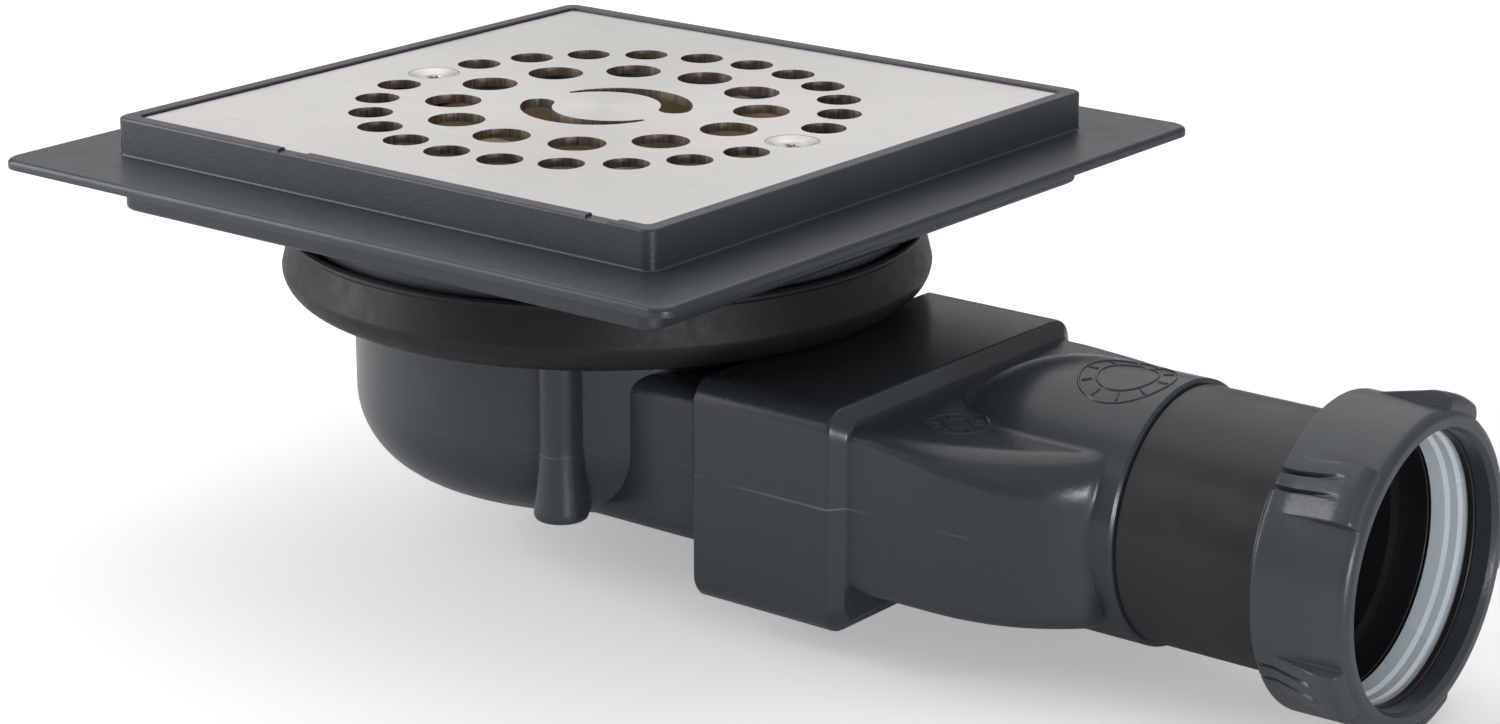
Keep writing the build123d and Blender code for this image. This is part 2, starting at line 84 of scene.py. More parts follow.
def add_light(name, place, target, size, watts, tint):
    lamp = bpy.data.lights.new(name, "AREA")
    lamp.shape = "RECTANGLE"
    lamp.size, lamp.size_y = size
    lamp.energy = watts
    lamp.color = tint
    holder = bpy.data.objects.new(name, lamp)
    holder.location = place
    holder.rotation_euler = (Vector(target) - Vector(place)).to_track_quat("-Z", "Y").to_euler()
    scene.collection.objects.link(holder)


LENS = 88.98
VIEW_AZIMUTH = radians(38.28)
VIEW_ELEVATION = radians(17.41)
VIEW_ROLL = radians(0.03)
camera = bpy.data.objects.new("camera", bpy.data.cameras.new("camera"))
camera.data.lens = LENS
camera.data.clip_start = 0.02
camera.matrix_world = (
    Matrix.Translation((0.39377, -0.46012, rim_top + 0.14433))
    @ Matrix.Rotation(VIEW_AZIMUTH, 4, "Z")
    @ Matrix.Rotation(pi / 2 - VIEW_ELEVATION, 4, "X")
    @ Matrix.Rotation(VIEW_ROLL, 4, "Z"))
scene.collection.objects.link(camera)
scene.camera = camera

add_light("overhead softbox", (-0.30, 0.30, 0.95), (0.0, 0.0, 0.0), (1.3, 1.3), 4.5, (1.0, 0.99, 0.97))
add_light("rear softbox", (-0.85, 1.05, 0.50), (0.0, 0.0, 0.0), (1.2, 0.5), 1.0, (1.0, 0.99, 0.98))
add_light("left softbox", (-0.80, -0.55, 0.25), (0.0, 0.0, -0.02), (0.5, 0.8), 7.0, (0.98, 0.99, 1.0))
add_light("low strip", (0.82, -0.40, 0.02), (0.06, 0.0, -0.04), (0.30, 0.14), 2.6, (0.95, 0.98, 1.0))

# The air is dim at the horizon and brighter overhead, so that upright faces keep their depth.
world = bpy.data.worlds.new("studio air")
scene.world = world
world.use_nodes = True
air = world.node_tree
sky = put(air, "ShaderNodeSeparateXYZ", {"Vector": put(air, "ShaderNodeTexCoord").outputs["Generated"]})
rise = put(air, "ShaderNodeMapRange", {"Value": sky.outputs["Z"], "From Min": 0.0, "From Max": 0.8,
                                       "To Min": 0.16, "To Max": 0.55})
air.nodes["Background"].inputs["Color"].default_value = (0.97, 0.985, 1.0, 1.0)
air.links.new(rise.outputs["Result"], air.nodes["Background"].inputs["Strength"])
scene.view_settings.view_transform = "Standard"

FLOOR_SPAN = 6.0
FLOOR_LIFT = 0.35        # the floor paint glows this much, to the eye only, and casts no light
floor_form = bmesh.new()
bmesh.ops.create_grid(floor_form, x_segments=1, y_segments=1, size=FLOOR_SPAN / 2)
floor_mesh = bpy.data.meshes.new("floor")
floor_form.to_mesh(floor_mesh)
floor_form.free()
floor_mesh.transform(Matrix.Translation((0.0, 0.0, cad_box[0].z)))
floor = bpy.data.objects.new("floor", floor_mesh)
scene.collection.objects.link(floor)
floor_paint = bpy.data.materials.new("floor paint")
floor_paint.use_nodes = True
floor_shader = floor_paint.node_tree.nodes["Principled BSDF"]
floor_shader.inputs["Base Color"].default_value = (0.85, 0.85, 0.85, 1.0)
floor_shader.inputs["Roughness"].default_value = 0.9
floor_shader.inputs["Specular IOR Level"].default_value = 0.1
floor_shader.inputs["Emission Color"].default_value = (1.0, 1.0, 1.0, 1.0)
seen = put(floor_paint.node_tree, "ShaderNodeMath",
           {0: put(floor_paint.node_tree, "ShaderNodeLightPath").outputs["Is Camera Ray"], 1: FLOOR_LIFT},
           operation="MULTIPLY")
floor_paint.node_tree.links.new(seen.outputs[0], floor_shader.inputs["Emission Strength"])
floor_mesh.materials.append(floor_paint)


# ---------------------------------------------------------------------------------------------
# Tile frame: the square rim, tiling flange and box of grey ABS, moulded in one with the round
# neck below. Ribs and a skirt stiffen it underneath, and two bosses take the grate's inserts.
def new_group(name, kind, inputs, outputs):
    """Node group with named inputs and outputs; gives the tree and its two end nodes."""
    tree = bpy.data.node_groups.new(name, kind)
    for label, (socket_type, value) in inputs.items():
        socket = tree.interface.new_socket(label, in_out="INPUT", socket_type="NodeSocket" + socket_type)
        if value is not None:
            socket.default_value = value
    for label, socket_type in outputs.items():
        tree.interface.new_socket(label, in_out="OUTPUT", socket_type="NodeSocket" + socket_type)
    return tree, tree.nodes.new("NodeGroupInput"), tree.nodes.new("NodeGroupOutput")


def build_moulded_skin():
    """Shared look of moulded plastic: spark-eroded grain, slow flow tone, and rubbed patches."""
    tree, given, result = new_group(
        "moulded skin", "ShaderNodeTree",
        {"Grain": ("Float", 2500.0), "Flow": ("Float", 22.0), "Rub": ("Float", 90.0)},
        {"Grain Height": "Float", "Tone": "Float", "Rubbed": "Float"})
    place = put(tree, "ShaderNodeTexCoord").outputs["Object"]
    grain = put(tree, "ShaderNodeTexNoise", {"Vector": place, "Scale": given.outputs["Grain"], "Detail": 3.0})
    flow = put(tree, "ShaderNodeTexNoise",
               {"Vector": place, "Scale": given.outputs["Flow"], "Detail": 4.0, "Distortion": 0.6})
    rub = put(tree, "ShaderNodeTexNoise",
              {"Vector": place, "Scale": given.outputs["Rub"], "Detail": 6.0, "Roughness": 0.7})
    patches = put(tree, "ShaderNodeMapRange", {"Value": rub, "From Min": 0.42, "From Max": 0.68})
    tree.links.new(grain.outputs["Fac"], result.inputs["Grain Height"])
    tree.links.new(flow.outputs["Fac"], result.inputs["Tone"])
    tree.links.new(patches.outputs["Result"], result.inputs["Rubbed"])
    return tree


moulded_skin = build_moulded_skin()


def start_material(name, **constants):
    """Material with a Principled shader whose constant values sit on its own sockets."""
    material = bpy.data.materials.new(name)
    material.use_nodes = True
    shader = material.node_tree.nodes["Principled BSDF"]
    for label, value in constants.items():
        shader.inputs[label.replace("_", " ")].default_value = value
    return material, material.node_tree, shader


def lay_finish(tree, shader, tone, dark, pale, roughness, height, strength, depth):
    """Gives a shader a colour between two tones, a roughness and the relief of a height."""
    share = put(tree, "ShaderNodeMapRange", {"Value": tone, "From Min": 0.3, "From Max": 0.7})
    colour = put(tree, "ShaderNodeMix", {0: share, 6: (*dark, 1.0), 7: (*pale, 1.0)}, data_type="RGBA")
    bump = put(tree, "ShaderNodeBump", {"Height": height, "Strength": strength, "Distance": depth})
    feed(tree, shader, {"Base Color": colour.outputs[2], "Roughness": roughness, "Normal": bump})


def mould_plastic(name, dark, pale, gloss, rubbed_gloss, grain_depth, skin=(), **constants):
    """Moulded plastic or rubber: two close tones, two glosses and the depth of the grain."""
    material, tree, shader = start_material(name, **constants)
    surface = put(tree, "ShaderNodeGroup", node_tree=moulded_skin)
    feed(tree, surface, skin)
    roughness = put(tree, "ShaderNodeMapRange",
                    {"Value": surface.outputs["Rubbed"], "To Min": gloss, "To Max": rubbed_gloss})
    lay_finish(tree, shader, surface.outputs["Tone"], dark, pale, roughness,
               surface.outputs["Grain Height"], 0.5, grain_depth)
    return material


def softened(outline, closed=True, steps=4):
    """Outline with round corners. Each point is (across, height, radius, ...); arcs keep what follows."""
    count = len(outline)
    result = []
    for index, (across, height, radius, *rest) in enumerate(outline):
        here = Vector((across, height))
        if not radius or (not closed and index in (0, count - 1)):
            result.append((across, height, *rest))
            continue
        back = (Vector(outline[index - 1][:2]) - here).normalized()
        ahead = (Vector(outline[(index + 1) % count][:2]) - here).normalized()
        half = back.angle(ahead) / 2
        centre = here + (back + ahead).normalized() * radius / sin(half)
        spoke = here + back * radius / tan(half) - centre
        turn = (pi - 2 * half) * (1 if ahead.cross(back) > 0 else -1)
        for step in range(steps + 1):
            point = centre + Matrix.Rotation(turn * step / steps, 2) @ spoke
            result.append((point.x, point.y, *rest))
    return result


def skin_rings(rings, closed):
    """Mesh form through a row of point rings; a ring of one point is a pole."""
    form = bmesh.new()
    loops = [[form.verts.new(point) for point in ring] for ring in rings]
    pairs = list(zip(loops, loops[1:]))
    if closed:
        pairs.append((loops[-1], loops[0]))
    for lower, upper in pairs:
        count = max(len(lower), len(upper))
        for index in range(count if count > 1 else 0):
            ahead = (index + 1) % count
            corners = [lower[index % len(lower)], lower[ahead % len(lower)],
                       upper[ahead % len(upper)], upper[index % len(upper)]]
            form.faces.new(dict.fromkeys(corners))
    bmesh.ops.remove_doubles(form, verts=form.verts, dist=1e-6)
    bmesh.ops.recalc_face_normals(form, faces=form.faces)
    return form


def close_form(name, form):
    """Turns a finished form into an object and lets the form go."""
    mesh = bpy.data.meshes.new(name)
    form.to_mesh(mesh)
    form.free()
    piece = bpy.data.objects.new(name, mesh)
    scene.collection.objects.link(piece)
    return piece


def settle(piece):
    """Applies a piece's modifiers to its mesh."""
    graph = bpy.context.evaluated_depsgraph_get()
    mesh = bpy.data.meshes.new_from_object(piece.evaluated_get(graph), depsgraph=graph)
    piece.modifiers.clear()
    piece.data = mesh
    return piece


def carve(piece, tool, operation="DIFFERENCE"):
    """Cuts a tool out of a piece, or joins it on, and removes the tool."""
    cut = piece.modifiers.new("carve", "BOOLEAN")
    cut.object = tool
    cut.operation = operation
    cut.solver = "EXACT"
    settle(piece)
    bpy.data.objects.remove(tool)
    return piece


def shade(piece, material, crease=32.0):
    """Smooth shading with true corners kept, and face-weighted normals so that flat faces look flat."""
    if material:
        piece.data.materials.clear()
        piece.data.materials.append(material)
    piece.data.shade_smooth()
    piece.data.set_sharp_from_angle(angle=radians(crease))
    weighted = piece.modifiers.new("weighted normals", "WEIGHTED_NORMAL")
    weighted.keep_sharp = True
    return piece


def deliver(piece, body, slot, *stands_for):
    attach(piece, body)
    if stands_for:
        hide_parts(*stands_for)


def join(name, parts):
    """One piece from several closed shells."""
    form = bmesh.new()
    for part in parts:
        form.from_mesh(part.data)
        bpy.data.objects.remove(part)
    return close_form(name, form)


def build_ring_of():
    """Geometry tree: copies of a shape round the Z axis, each turned to face outwards."""
    tree, given, result = new_group(
        "ring of copies", "GeometryNodeTree",
        {"Geometry": ("Geometry", None), "Count": ("Int", 3), "Radius": ("Float", 0.0),
         "First Angle": ("Float", 0.0), "Material": ("Material", None)},
        {"Geometry": "Geometry"})
    points = put(tree, "GeometryNodeMeshLine", {"Count": given.outputs["Count"]})
    index = put(tree, "GeometryNodeInputIndex").outputs["Index"]
    step = put(tree, "ShaderNodeMath", {0: 2 * pi, 1: given.outputs["Count"]}, operation="DIVIDE")
    angle = put(tree, "ShaderNodeMath",
                {0: index, 1: step, 2: given.outputs["First Angle"]}, operation="MULTIPLY_ADD")
    turn = put(tree, "ShaderNodeCombineXYZ", {"Z": angle})
    reach = put(tree, "ShaderNodeCombineXYZ", {"X": given.outputs["Radius"]})
    place = put(tree, "ShaderNodeVectorRotate", {"Vector": reach, "Angle": angle}, rotation_type="Z_AXIS")
    placed = put(tree, "GeometryNodeSetPosition", {"Geometry": points, "Position": place})
    copies = put(tree, "GeometryNodeInstanceOnPoints",
                 {"Points": placed, "Instance": given.outputs["Geometry"],
                  "Rotation": turn})
    solid = put(tree, "GeometryNodeRealizeInstances", {"Geometry": copies})
    painted = put(tree, "GeometryNodeSetMaterial",
                  {"Geometry": solid, "Material": given.outputs["Material"]})
    tree.links.new(painted.outputs["Geometry"], result.inputs["Geometry"])
    return tree


ring_of = build_ring_of()


def run_tree(piece, tree, values):
    """Runs a geometry tree on a piece with named inputs and keeps the plain mesh."""
    modifier = piece.modifiers.new("tree", "NODES")
    modifier.node_group = tree
    for item in tree.interface.items_tree:
        if item.in_out == "INPUT" and item.name in values:
            modifier[item.identifier] = values[item.name]
    return settle(piece)


def repeat_round(piece, count, radius, first_angle, material):
    return run_tree(piece, ring_of, {"Count": count, "Radius": radius, "First Angle": radians(first_angle),
                                     "Material": material})


frame_plastic = mould_plastic(
    "frame plastic", (0.030, 0.036, 0.043), (0.037, 0.044, 0.052), 0.34, 0.42, 0.00006,
    {"Grain": 2600.0, "Flow": 30.0, "Rub": 160.0}, Specular_IOR_Level=0.5)
SIDE_STEPS = 30          # points along each side of a square ring
CORNER_STEPS = 6


def square_ring(half, corner, height):
    """Points round a square with round corners, spaced so that they line up with a circle's."""
    flat = half - corner
    spread = atan2(flat, half)
    points = []
    for quarter in range(4):
        side = [(half, half * tan(spread * (2 * step / SIDE_STEPS - 1))) for step in range(SIDE_STEPS + 1)]
        for step in range(1, CORNER_STEPS):
            angle = pi / 2 * step / CORNER_STEPS
            side.append((flat + corner * cos(angle), flat + corner * sin(angle)))
        turn = Matrix.Rotation(quarter * pi / 2, 2)
        points += [(*(turn @ Vector(point)), height) for point in side]
    return points


flange_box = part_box("tile_frame")
FLANGE_HALF = flange_box[1].x
RIM_HALF = 0.0575
RIM_WIDTH = 0.0027
POCKET_HALF = RIM_HALF - RIM_WIDTH
POCKET_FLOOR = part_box("grate_plate")[0].z
NECK_COLLAR_R = 0.0466   # the neck's collar, where it meets the frame's underside
DECK_UNDER = POCKET_FLOOR - 0.002
FLANGE_TOP = rim_top - 0.0065
FLANGE_UNDER = rim_top - 0.00825
BOX_BOTTOM = rim_top - 0.0158
BOX_WALL = 0.0024
NECK_OUT = 0.0388
NECK_IN = 0.0360
FUNNEL_TOP = 0.0442
FUNNEL_LOW = rim_top - 0.0130
ROUND = None             # marks an outline point that lies on a circle
directions = [atan2(y, x) for x, y, _ in square_ring(POCKET_HALF, 0.0012, 0.0)]


def frame_rings(outline, closed_steps=4):
    rings = []
    for size, height, corner in softened(outline, steps=closed_steps):
        if corner is ROUND:
            rings.append([(size * cos(angle), size * sin(angle), height) for angle in directions])
        else:
            rings.append(square_ring(size, corner, height))
    return rings


frame_outline = [
    (RIM_HALF, rim_top, 0.0005, 0.0020),
    (POCKET_HALF, rim_top, 0.0003, 0.0012),
    (POCKET_HALF, POCKET_FLOOR, 0.0003, 0.0012),
    (NECK_COLLAR_R, POCKET_FLOOR, 0, ROUND),
    (NECK_COLLAR_R, DECK_UNDER, 0, ROUND),
    (RIM_HALF - BOX_WALL, DECK_UNDER, 0.0006, 0.0020),
    (RIM_HALF - BOX_WALL, BOX_BOTTOM, 0.0003, 0.0020),
    (RIM_HALF, BOX_BOTTOM, 0.0008, 0.0030),
    (RIM_HALF, FLANGE_UNDER, 0.0004, 0.0030),
    (FLANGE_HALF, FLANGE_UNDER, 0.0002, 0.0030),
    (FLANGE_HALF, FLANGE_TOP, 0.0008, 0.0030),
    (RIM_HALF, FLANGE_TOP, 0.0004, 0.0020)]
shell = close_form("tile_frame_shell", skin_rings(frame_rings(frame_outline), closed=True))


def turned(outline, turns=144, axis="Z", height=0.0, name="turned"):
    """Spins a closed outline of (radius, place) points about Z, or about a level X axis."""
    rings = []
    for radius, place in outline:
        count = turns if radius > 1e-7 else 1
        angles = [2 * pi * step / turns for step in range(count)]
        if axis == "Z":
            rings.append([(radius * cos(angle), radius * sin(angle), place) for angle in angles])
        else:
            rings.append([(place, radius * cos(angle), height + radius * sin(angle)) for angle in angles])
    ends_on_axis = outline[0][0] <= 1e-7 and outline[-1][0] <= 1e-7
    return close_form(name, skin_rings(rings, closed=not ends_on_axis))


SCALLOP_R = 0.0030
for scallop_x in (-0.0177, 0.0468):
    cutter = turned([(0.0, rim_top - 0.0004), (SCALLOP_R, rim_top - 0.0004), (SCALLOP_R, rim_top + 0.001),
                     (0.0, rim_top + 0.001)], turns=48)
    cutter.data.transform(Matrix.Translation((scallop_x, -RIM_HALF + RIM_WIDTH / 2 + 0.0009, 0.0)))
    carve(shell, cutter)

SKIRT_R = 0.0520
skirt = turned(softened([(SKIRT_R, DECK_UNDER + 0.0004, 0), (SKIRT_R, flange_box[0].z, 0.0005),
                         (SKIRT_R - 0.002, flange_box[0].z, 0.0005),
                         (SKIRT_R - 0.002, DECK_UNDER + 0.0004, 0)]))
rib_form = bmesh.new()
bmesh.ops.create_cube(rib_form, size=1.0)
rib = close_form("rib", rib_form)
RIB_INNER = 0.0470
RIB_OUTER = 0.0560
rib.data.transform(Matrix.Translation(((RIB_INNER + RIB_OUTER) / 2, 0.0,
                                       (DECK_UNDER + BOX_BOTTOM) / 2 + 0.0002))
                   @ Matrix.Diagonal((RIB_OUTER - RIB_INNER, 0.0016, DECK_UNDER - BOX_BOTTOM, 1.0)))
ribs = repeat_round(rib, 16, 0.0, 11.25, frame_plastic)
tile_frame = shade(join("tile_frame_piece", [shell, skirt, ribs]), frame_plastic)
deliver(tile_frame, "frame", "frame_abs", "tile_frame")

neck_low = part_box("frame_neck")[0].z
GROOVE_R = 0.0376
GROOVE_TOP = rim_top - 0.0289
GROOVE_BOTTOM = rim_top - 0.0316
SEAT_LIP_R = 0.0326      # the lip inside the neck's foot
neck = turned(softened([
    (FUNNEL_TOP, POCKET_FLOOR, 0.0004), (NECK_COLLAR_R, POCKET_FLOOR, 0), (NECK_COLLAR_R, DECK_UNDER, 0.0004),
    (NECK_OUT, FUNNEL_LOW, 0.002), (NECK_OUT, GROOVE_TOP, 0.0002), (GROOVE_R, GROOVE_TOP, 0.0002),
    (GROOVE_R, GROOVE_BOTTOM, 0.0002), (NECK_OUT, GROOVE_BOTTOM, 0.0002), (NECK_OUT, neck_low, 0.0004),
    (SEAT_LIP_R, neck_low, 0.0004), (SEAT_LIP_R, neck_low + 0.002, 0.0004),
    (NECK_IN, neck_low + 0.002, 0.0004),
    (NECK_IN, FUNNEL_LOW, 0.002)]))
BOSS_R = 0.0032
SCREW_CIRCLE = 0.0393
INSERT_R = 0.0024
boss_top = POCKET_FLOOR
boss_low = rim_top - 0.0145
bosses = repeat_round(
    turned(softened([(INSERT_R, boss_top, 0.0002), (BOSS_R, boss_top, 0.0003), (BOSS_R, boss_low, 0.0005),
                     (0.0, boss_low, 0), (0.0, boss_top - 0.0095, 0), (INSERT_R, boss_top - 0.0095, 0)]),
           turns=40), 2, SCREW_CIRCLE, 0.0, frame_plastic)
frame_neck = shade(join("frame_neck_piece", [neck, bosses]), frame_plastic)
deliver(frame_neck, "frame", "frame_abs", "frame_neck")


# Inserts: two knurled brass bushes pressed hot into the bosses; the grate screws cut into them.
def build_turned_metal():
    """Shared look of drawn or turned metal: streaks along one direction and small handling marks."""
    tree, given, result = new_group(
        "drawn metal", "ShaderNodeTree",
        {"Stretch X": ("Float", 1.0), "Stretch Y": ("Float", 1.0), "Stretch Z": ("Float", 1.0),
         "Fineness": ("Float", 400.0)},
        {"Streak": "Float", "Smudge": "Float"})
    place = put(tree, "ShaderNodeTexCoord").outputs["Object"]
    stretch = put(tree, "ShaderNodeCombineXYZ", {"X": given.outputs["Stretch X"],
                                                 "Y": given.outputs["Stretch Y"],
                                                 "Z": given.outputs["Stretch Z"]})
    drawn = put(tree, "ShaderNodeVectorMath", {0: place, 1: stretch}, operation="MULTIPLY")
    streak = put(tree, "ShaderNodeTexNoise", {"Vector": drawn,
                                              "Scale": given.outputs["Fineness"], "Detail": 5.0})
    smudge = put(tree, "ShaderNodeTexNoise", {"Vector": place, "Scale": 45.0, "Detail": 3.0})
    tree.links.new(streak.outputs["Fac"], result.inputs["Streak"])
    tree.links.new(smudge.outputs["Fac"], result.inputs["Smudge"])
    return tree


drawn_metal = build_turned_metal()


def finish_metal(name, dark, pale, gloss, depth, stretch=(1.0, 1.0, 1.0), fineness=400.0, **constants):
    """Bare metal: streaked colour and gloss, and the streaks' own relief."""
    material, tree, shader = start_material(name, Metallic=1.0, **constants)
    surface = put(tree, "ShaderNodeGroup", node_tree=drawn_metal)
    feed(tree, surface, zip(("Stretch X", "Stretch Y", "Stretch Z", "Fineness"), (*stretch, fineness)))
    roughness = put(tree, "ShaderNodeMapRange",
                    {"Value": surface.outputs["Smudge"], "From Min": 0.3, "From Max": 0.7,
                     "To Min": gloss, "To Max": gloss + 0.08})
    streak = surface.outputs["Streak"]
    lay_finish(tree, shader, streak, dark, pale, roughness, streak, 0.4, depth)
    return material


brass = finish_metal("turned brass", (0.50, 0.33, 0.13), (0.62, 0.43, 0.19), 0.28, 0.00001,
                     stretch=(1.0, 1.0, 6.0), fineness=500.0)
insert_low, insert_high = (corner.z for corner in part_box("frame_inserts"))
KNURLS = 30


def knurled_bush():
    """Bush with a plain waist and straight knurls above and below it."""
    rings = []
    waist = (insert_low + insert_high) / 2
    for height, depth in ((insert_low, 0.0003), (insert_low + 0.0004, 0.0), (waist - 0.0006, 0.0),
                          (waist - 0.0005, 0.0003), (waist + 0.0005, 0.0003), (waist + 0.0006, 0.0),
                          (insert_high - 0.0004, 0.0), (insert_high, 0.0003)):
        ring = []
        for step in range(2 * KNURLS):
            radius = INSERT_R - 0.00005 - depth - (0.00015 if step % 2 and not depth else 0.0)
            angle = pi * step / KNURLS
            ring.append((radius * cos(angle), radius * sin(angle), height))
        rings.append(ring)
    for height in (insert_high, insert_low):
        rings.append([(0.0018 * cos(pi * step / KNURLS), 0.0018 * sin(pi * step / KNURLS), height)
                      for step in range(2 * KNURLS)])
    return close_form("bush", skin_rings(rings, closed=True))


inserts = repeat_round(knurled_bush(), 2, SCREW_CIRCLE, 0.0, brass)
inserts.name = "insert_pair"
deliver(shade(inserts, brass, 20.0), "frame", "brass", "frame_inserts")


# ---------------------------------------------------------------------------------------------
# Grate plate: 1.5 mm stainless sheet, laser cut and brushed, with two rings of round holes and two
# tapered arc slots. It lies loose in the frame's pocket and is held by two countersunk screws.
plate_low, plate_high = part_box("grate_plate")
PLATE_WIDTH = plate_high.x - plate_low.x
PLATE_T = plate_high.z - plate_low.z
SCREW_HEAD_R = 0.0044
SLOT_R = 0.0118
SLOT_WIDTH = 0.0054
SLOT_ARC = radians(137.0)
SLOT_START = radians(25.0)
SLOT_TAPER = 0.85
SLOT_STEPS = 28

brushed_steel = finish_metal("brushed stainless", (0.70, 0.68, 0.66), (0.77, 0.75, 0.73), 0.40, 0.000004,
                             stretch=(1.0, 40.0, 1.0), fineness=60.0, Anisotropic=0.3)
cut_steel = finish_metal("laser cut edge", (0.20, 0.16, 0.12), (0.48, 0.42, 0.36), 0.42, 0.00004,
                         stretch=(1.0, 1.0, 0.08), fineness=1800.0)


def slot_outline():
    """Closed line of one arc slot: a round wide end that narrows to a thin tip."""
    outer, inner = [], []
    for step in range(SLOT_STEPS + 1):
        share = step / SLOT_STEPS
        angle = SLOT_START + SLOT_ARC * share
        half = SLOT_WIDTH / 2 * (1 - SLOT_TAPER * share ** 2)
        outer.append(((SLOT_R + half) * cos(angle), (SLOT_R + half) * sin(angle)))
        inner.append(((SLOT_R - half) * cos(angle), (SLOT_R - half) * sin(angle)))
    cap = []
    for step in range(1, 8):
        swing = SLOT_START + pi + pi * step / 8
        cap.append((SLOT_R * cos(SLOT_START) + SLOT_WIDTH / 2 * cos(swing),
                    SLOT_R * sin(SLOT_START) + SLOT_WIDTH / 2 * sin(swing)))
    form = bmesh.new()
    loop = [form.verts.new((x, y, 0.0)) for x, y in outer + inner[::-1] + cap]
    for index, vertex in enumerate(loop):
        form.edges.new((vertex, loop[(index + 1) % len(loop)]))
    return close_form("grate_plate_piece", form)


def build_grate_tree():
    """Geometry tree: the slot's outline in, the finished plate out."""
    tree, given, result = new_group(
        "punched grate", "GeometryNodeTree",
        {"Geometry": ("Geometry", None), "Width": ("Float", 0.1), "Thickness": ("Float", 0.002),
         "Bottom": ("Float", 0.0), "Corner": ("Float", 0.001),
         "Outer Ring": ("Float", 0.0393), "Outer Hole": ("Float", 0.00375), "Outer Count": ("Int", 24),
         "Screw Hole": ("Float", 0.0045), "Inner Ring": ("Float", 0.0262), "Inner Hole": ("Float", 0.00475),
         "Inner Count": ("Int", 12), "Face Metal": ("Material", None), "Cut Metal": ("Material", None)},
        {"Geometry": "Geometry"})
    value = given.outputs

    def hole_ring(count, ring, hole, scale=None):
        circle = put(tree, "GeometryNodeCurvePrimitiveCircle",
                     {"Resolution": value[count], "Radius": value[ring]})
        one = put(tree, "GeometryNodeCurvePrimitiveCircle", {"Resolution": 44, "Radius": value[hole]})
        copies = put(tree, "GeometryNodeInstanceOnPoints", {"Points": circle, "Instance": one})
        if scale:
            tree.links.new(scale, copies.inputs["Scale"])
        return put(tree, "GeometryNodeRealizeInstances", {"Geometry": copies}).outputs[0]

    square = put(tree, "GeometryNodeCurvePrimitiveQuadrilateral",
                 {"Width": value["Width"], "Height": value["Width"]})
    border = put(tree, "GeometryNodeFilletCurve",
                 {"Curve": square, "Radius": value["Corner"], "Count": 5}, mode="POLY")
    index = put(tree, "GeometryNodeInputIndex").outputs["Index"]
    half_count = put(tree, "ShaderNodeMath", {0: value["Outer Count"], 1: 2.0}, operation="DIVIDE")
    place = put(tree, "ShaderNodeMath", {0: index, 1: half_count}, operation="MODULO")
    is_screw = put(tree, "ShaderNodeMath", {0: place, 1: 0.5}, operation="LESS_THAN")
    growth = put(tree, "ShaderNodeMath", {0: value["Screw Hole"], 1: value["Outer Hole"]}, operation="DIVIDE")
    hole_scale = put(tree, "ShaderNodeMix", {0: is_screw, 2: 1.0, 3: growth})
    outer = hole_ring("Outer Count", "Outer Ring", "Outer Hole", hole_scale.outputs[0])
    inner = hole_ring("Inner Count", "Inner Ring", "Inner Hole")
    slot = put(tree, "GeometryNodeMeshToCurve", {"Mesh": value["Geometry"]})
    other_slot = put(tree, "GeometryNodeTransform", {"Geometry": slot, "Rotation": (0.0, 0.0, pi)})
    outline = put(tree, "GeometryNodeJoinGeometry")
    for line in (border.outputs[0], outer, inner, slot.outputs[0], other_slot.outputs[0]):
        tree.links.new(line, outline.inputs[0])
    sheet = put(tree, "GeometryNodeFillCurve", {"Curve": outline})
    lift = put(tree, "ShaderNodeCombineXYZ", {"Z": value["Bottom"]})
    low = put(tree, "GeometryNodeSetPosition", {"Geometry": sheet, "Offset": lift})
    rise = put(tree, "GeometryNodeExtrudeMesh",
               {"Mesh": low, "Offset Scale": value["Thickness"], "Individual": False})
    back = put(tree, "GeometryNodeFlipFaces", {"Mesh": low})
    faced = put(tree, "GeometryNodeSetMaterial", {"Geometry": rise, "Material": value["Face Metal"]})
    cut = put(tree, "GeometryNodeSetMaterial", {"Geometry": faced, "Selection": rise.outputs["Side"],
                                                "Material": value["Cut Metal"]})
    backed = put(tree, "GeometryNodeSetMaterial", {"Geometry": back, "Material": value["Face Metal"]})
    both = put(tree, "GeometryNodeJoinGeometry")
    tree.links.new(cut.outputs[0], both.inputs[0])
    tree.links.new(backed.outputs[0], both.inputs[0])
    whole = put(tree, "GeometryNodeMergeByDistance", {"Geometry": both, "Distance": 1e-6})
    tree.links.new(whole.outputs[0], result.inputs[0])
    return tree


grate_plate = run_tree(slot_outline(), build_grate_tree(), {
    "Width": PLATE_WIDTH, "Thickness": PLATE_T, "Bottom": plate_low.z,
    "Screw Hole": SCREW_HEAD_R + 0.0001, "Face Metal": brushed_steel, "Cut Metal": cut_steel})
for vertex in grate_plate.data.vertices:
    for side in (-1, 1):
        middle = Vector((side * SCREW_CIRCLE, 0.0, vertex.co.z))
        on_underside = vertex.co.z < (plate_low.z + plate_high.z) / 2
        if on_underside and (vertex.co - middle).length < SCREW_HEAD_R + 0.0003:
            vertex.co = middle + (vertex.co - middle) * 0.5
edge_break = grate_plate.modifiers.new("deburred edges", "BEVEL")
edge_break.width = 0.00018
edge_break.segments = 2
edge_break.limit_method = "ANGLE"
edge_break.angle_limit = radians(50)
settle(grate_plate)
deliver(shade(grate_plate, None), "grate", "stainless", "grate_plate")

# Grate screws: two countersunk stainless screws with cross recesses, heads flush with the plate.
polished_steel = finish_metal("screw stainless", (0.56, 0.55, 0.53), (0.70, 0.69, 0.67), 0.30, 0.000004,
                              stretch=(1.0, 1.0, 4.0), fineness=300.0)
SHANK_R = 0.00175
THREAD_PITCH = 0.0011
HEAD_T = PLATE_T - 0.00005


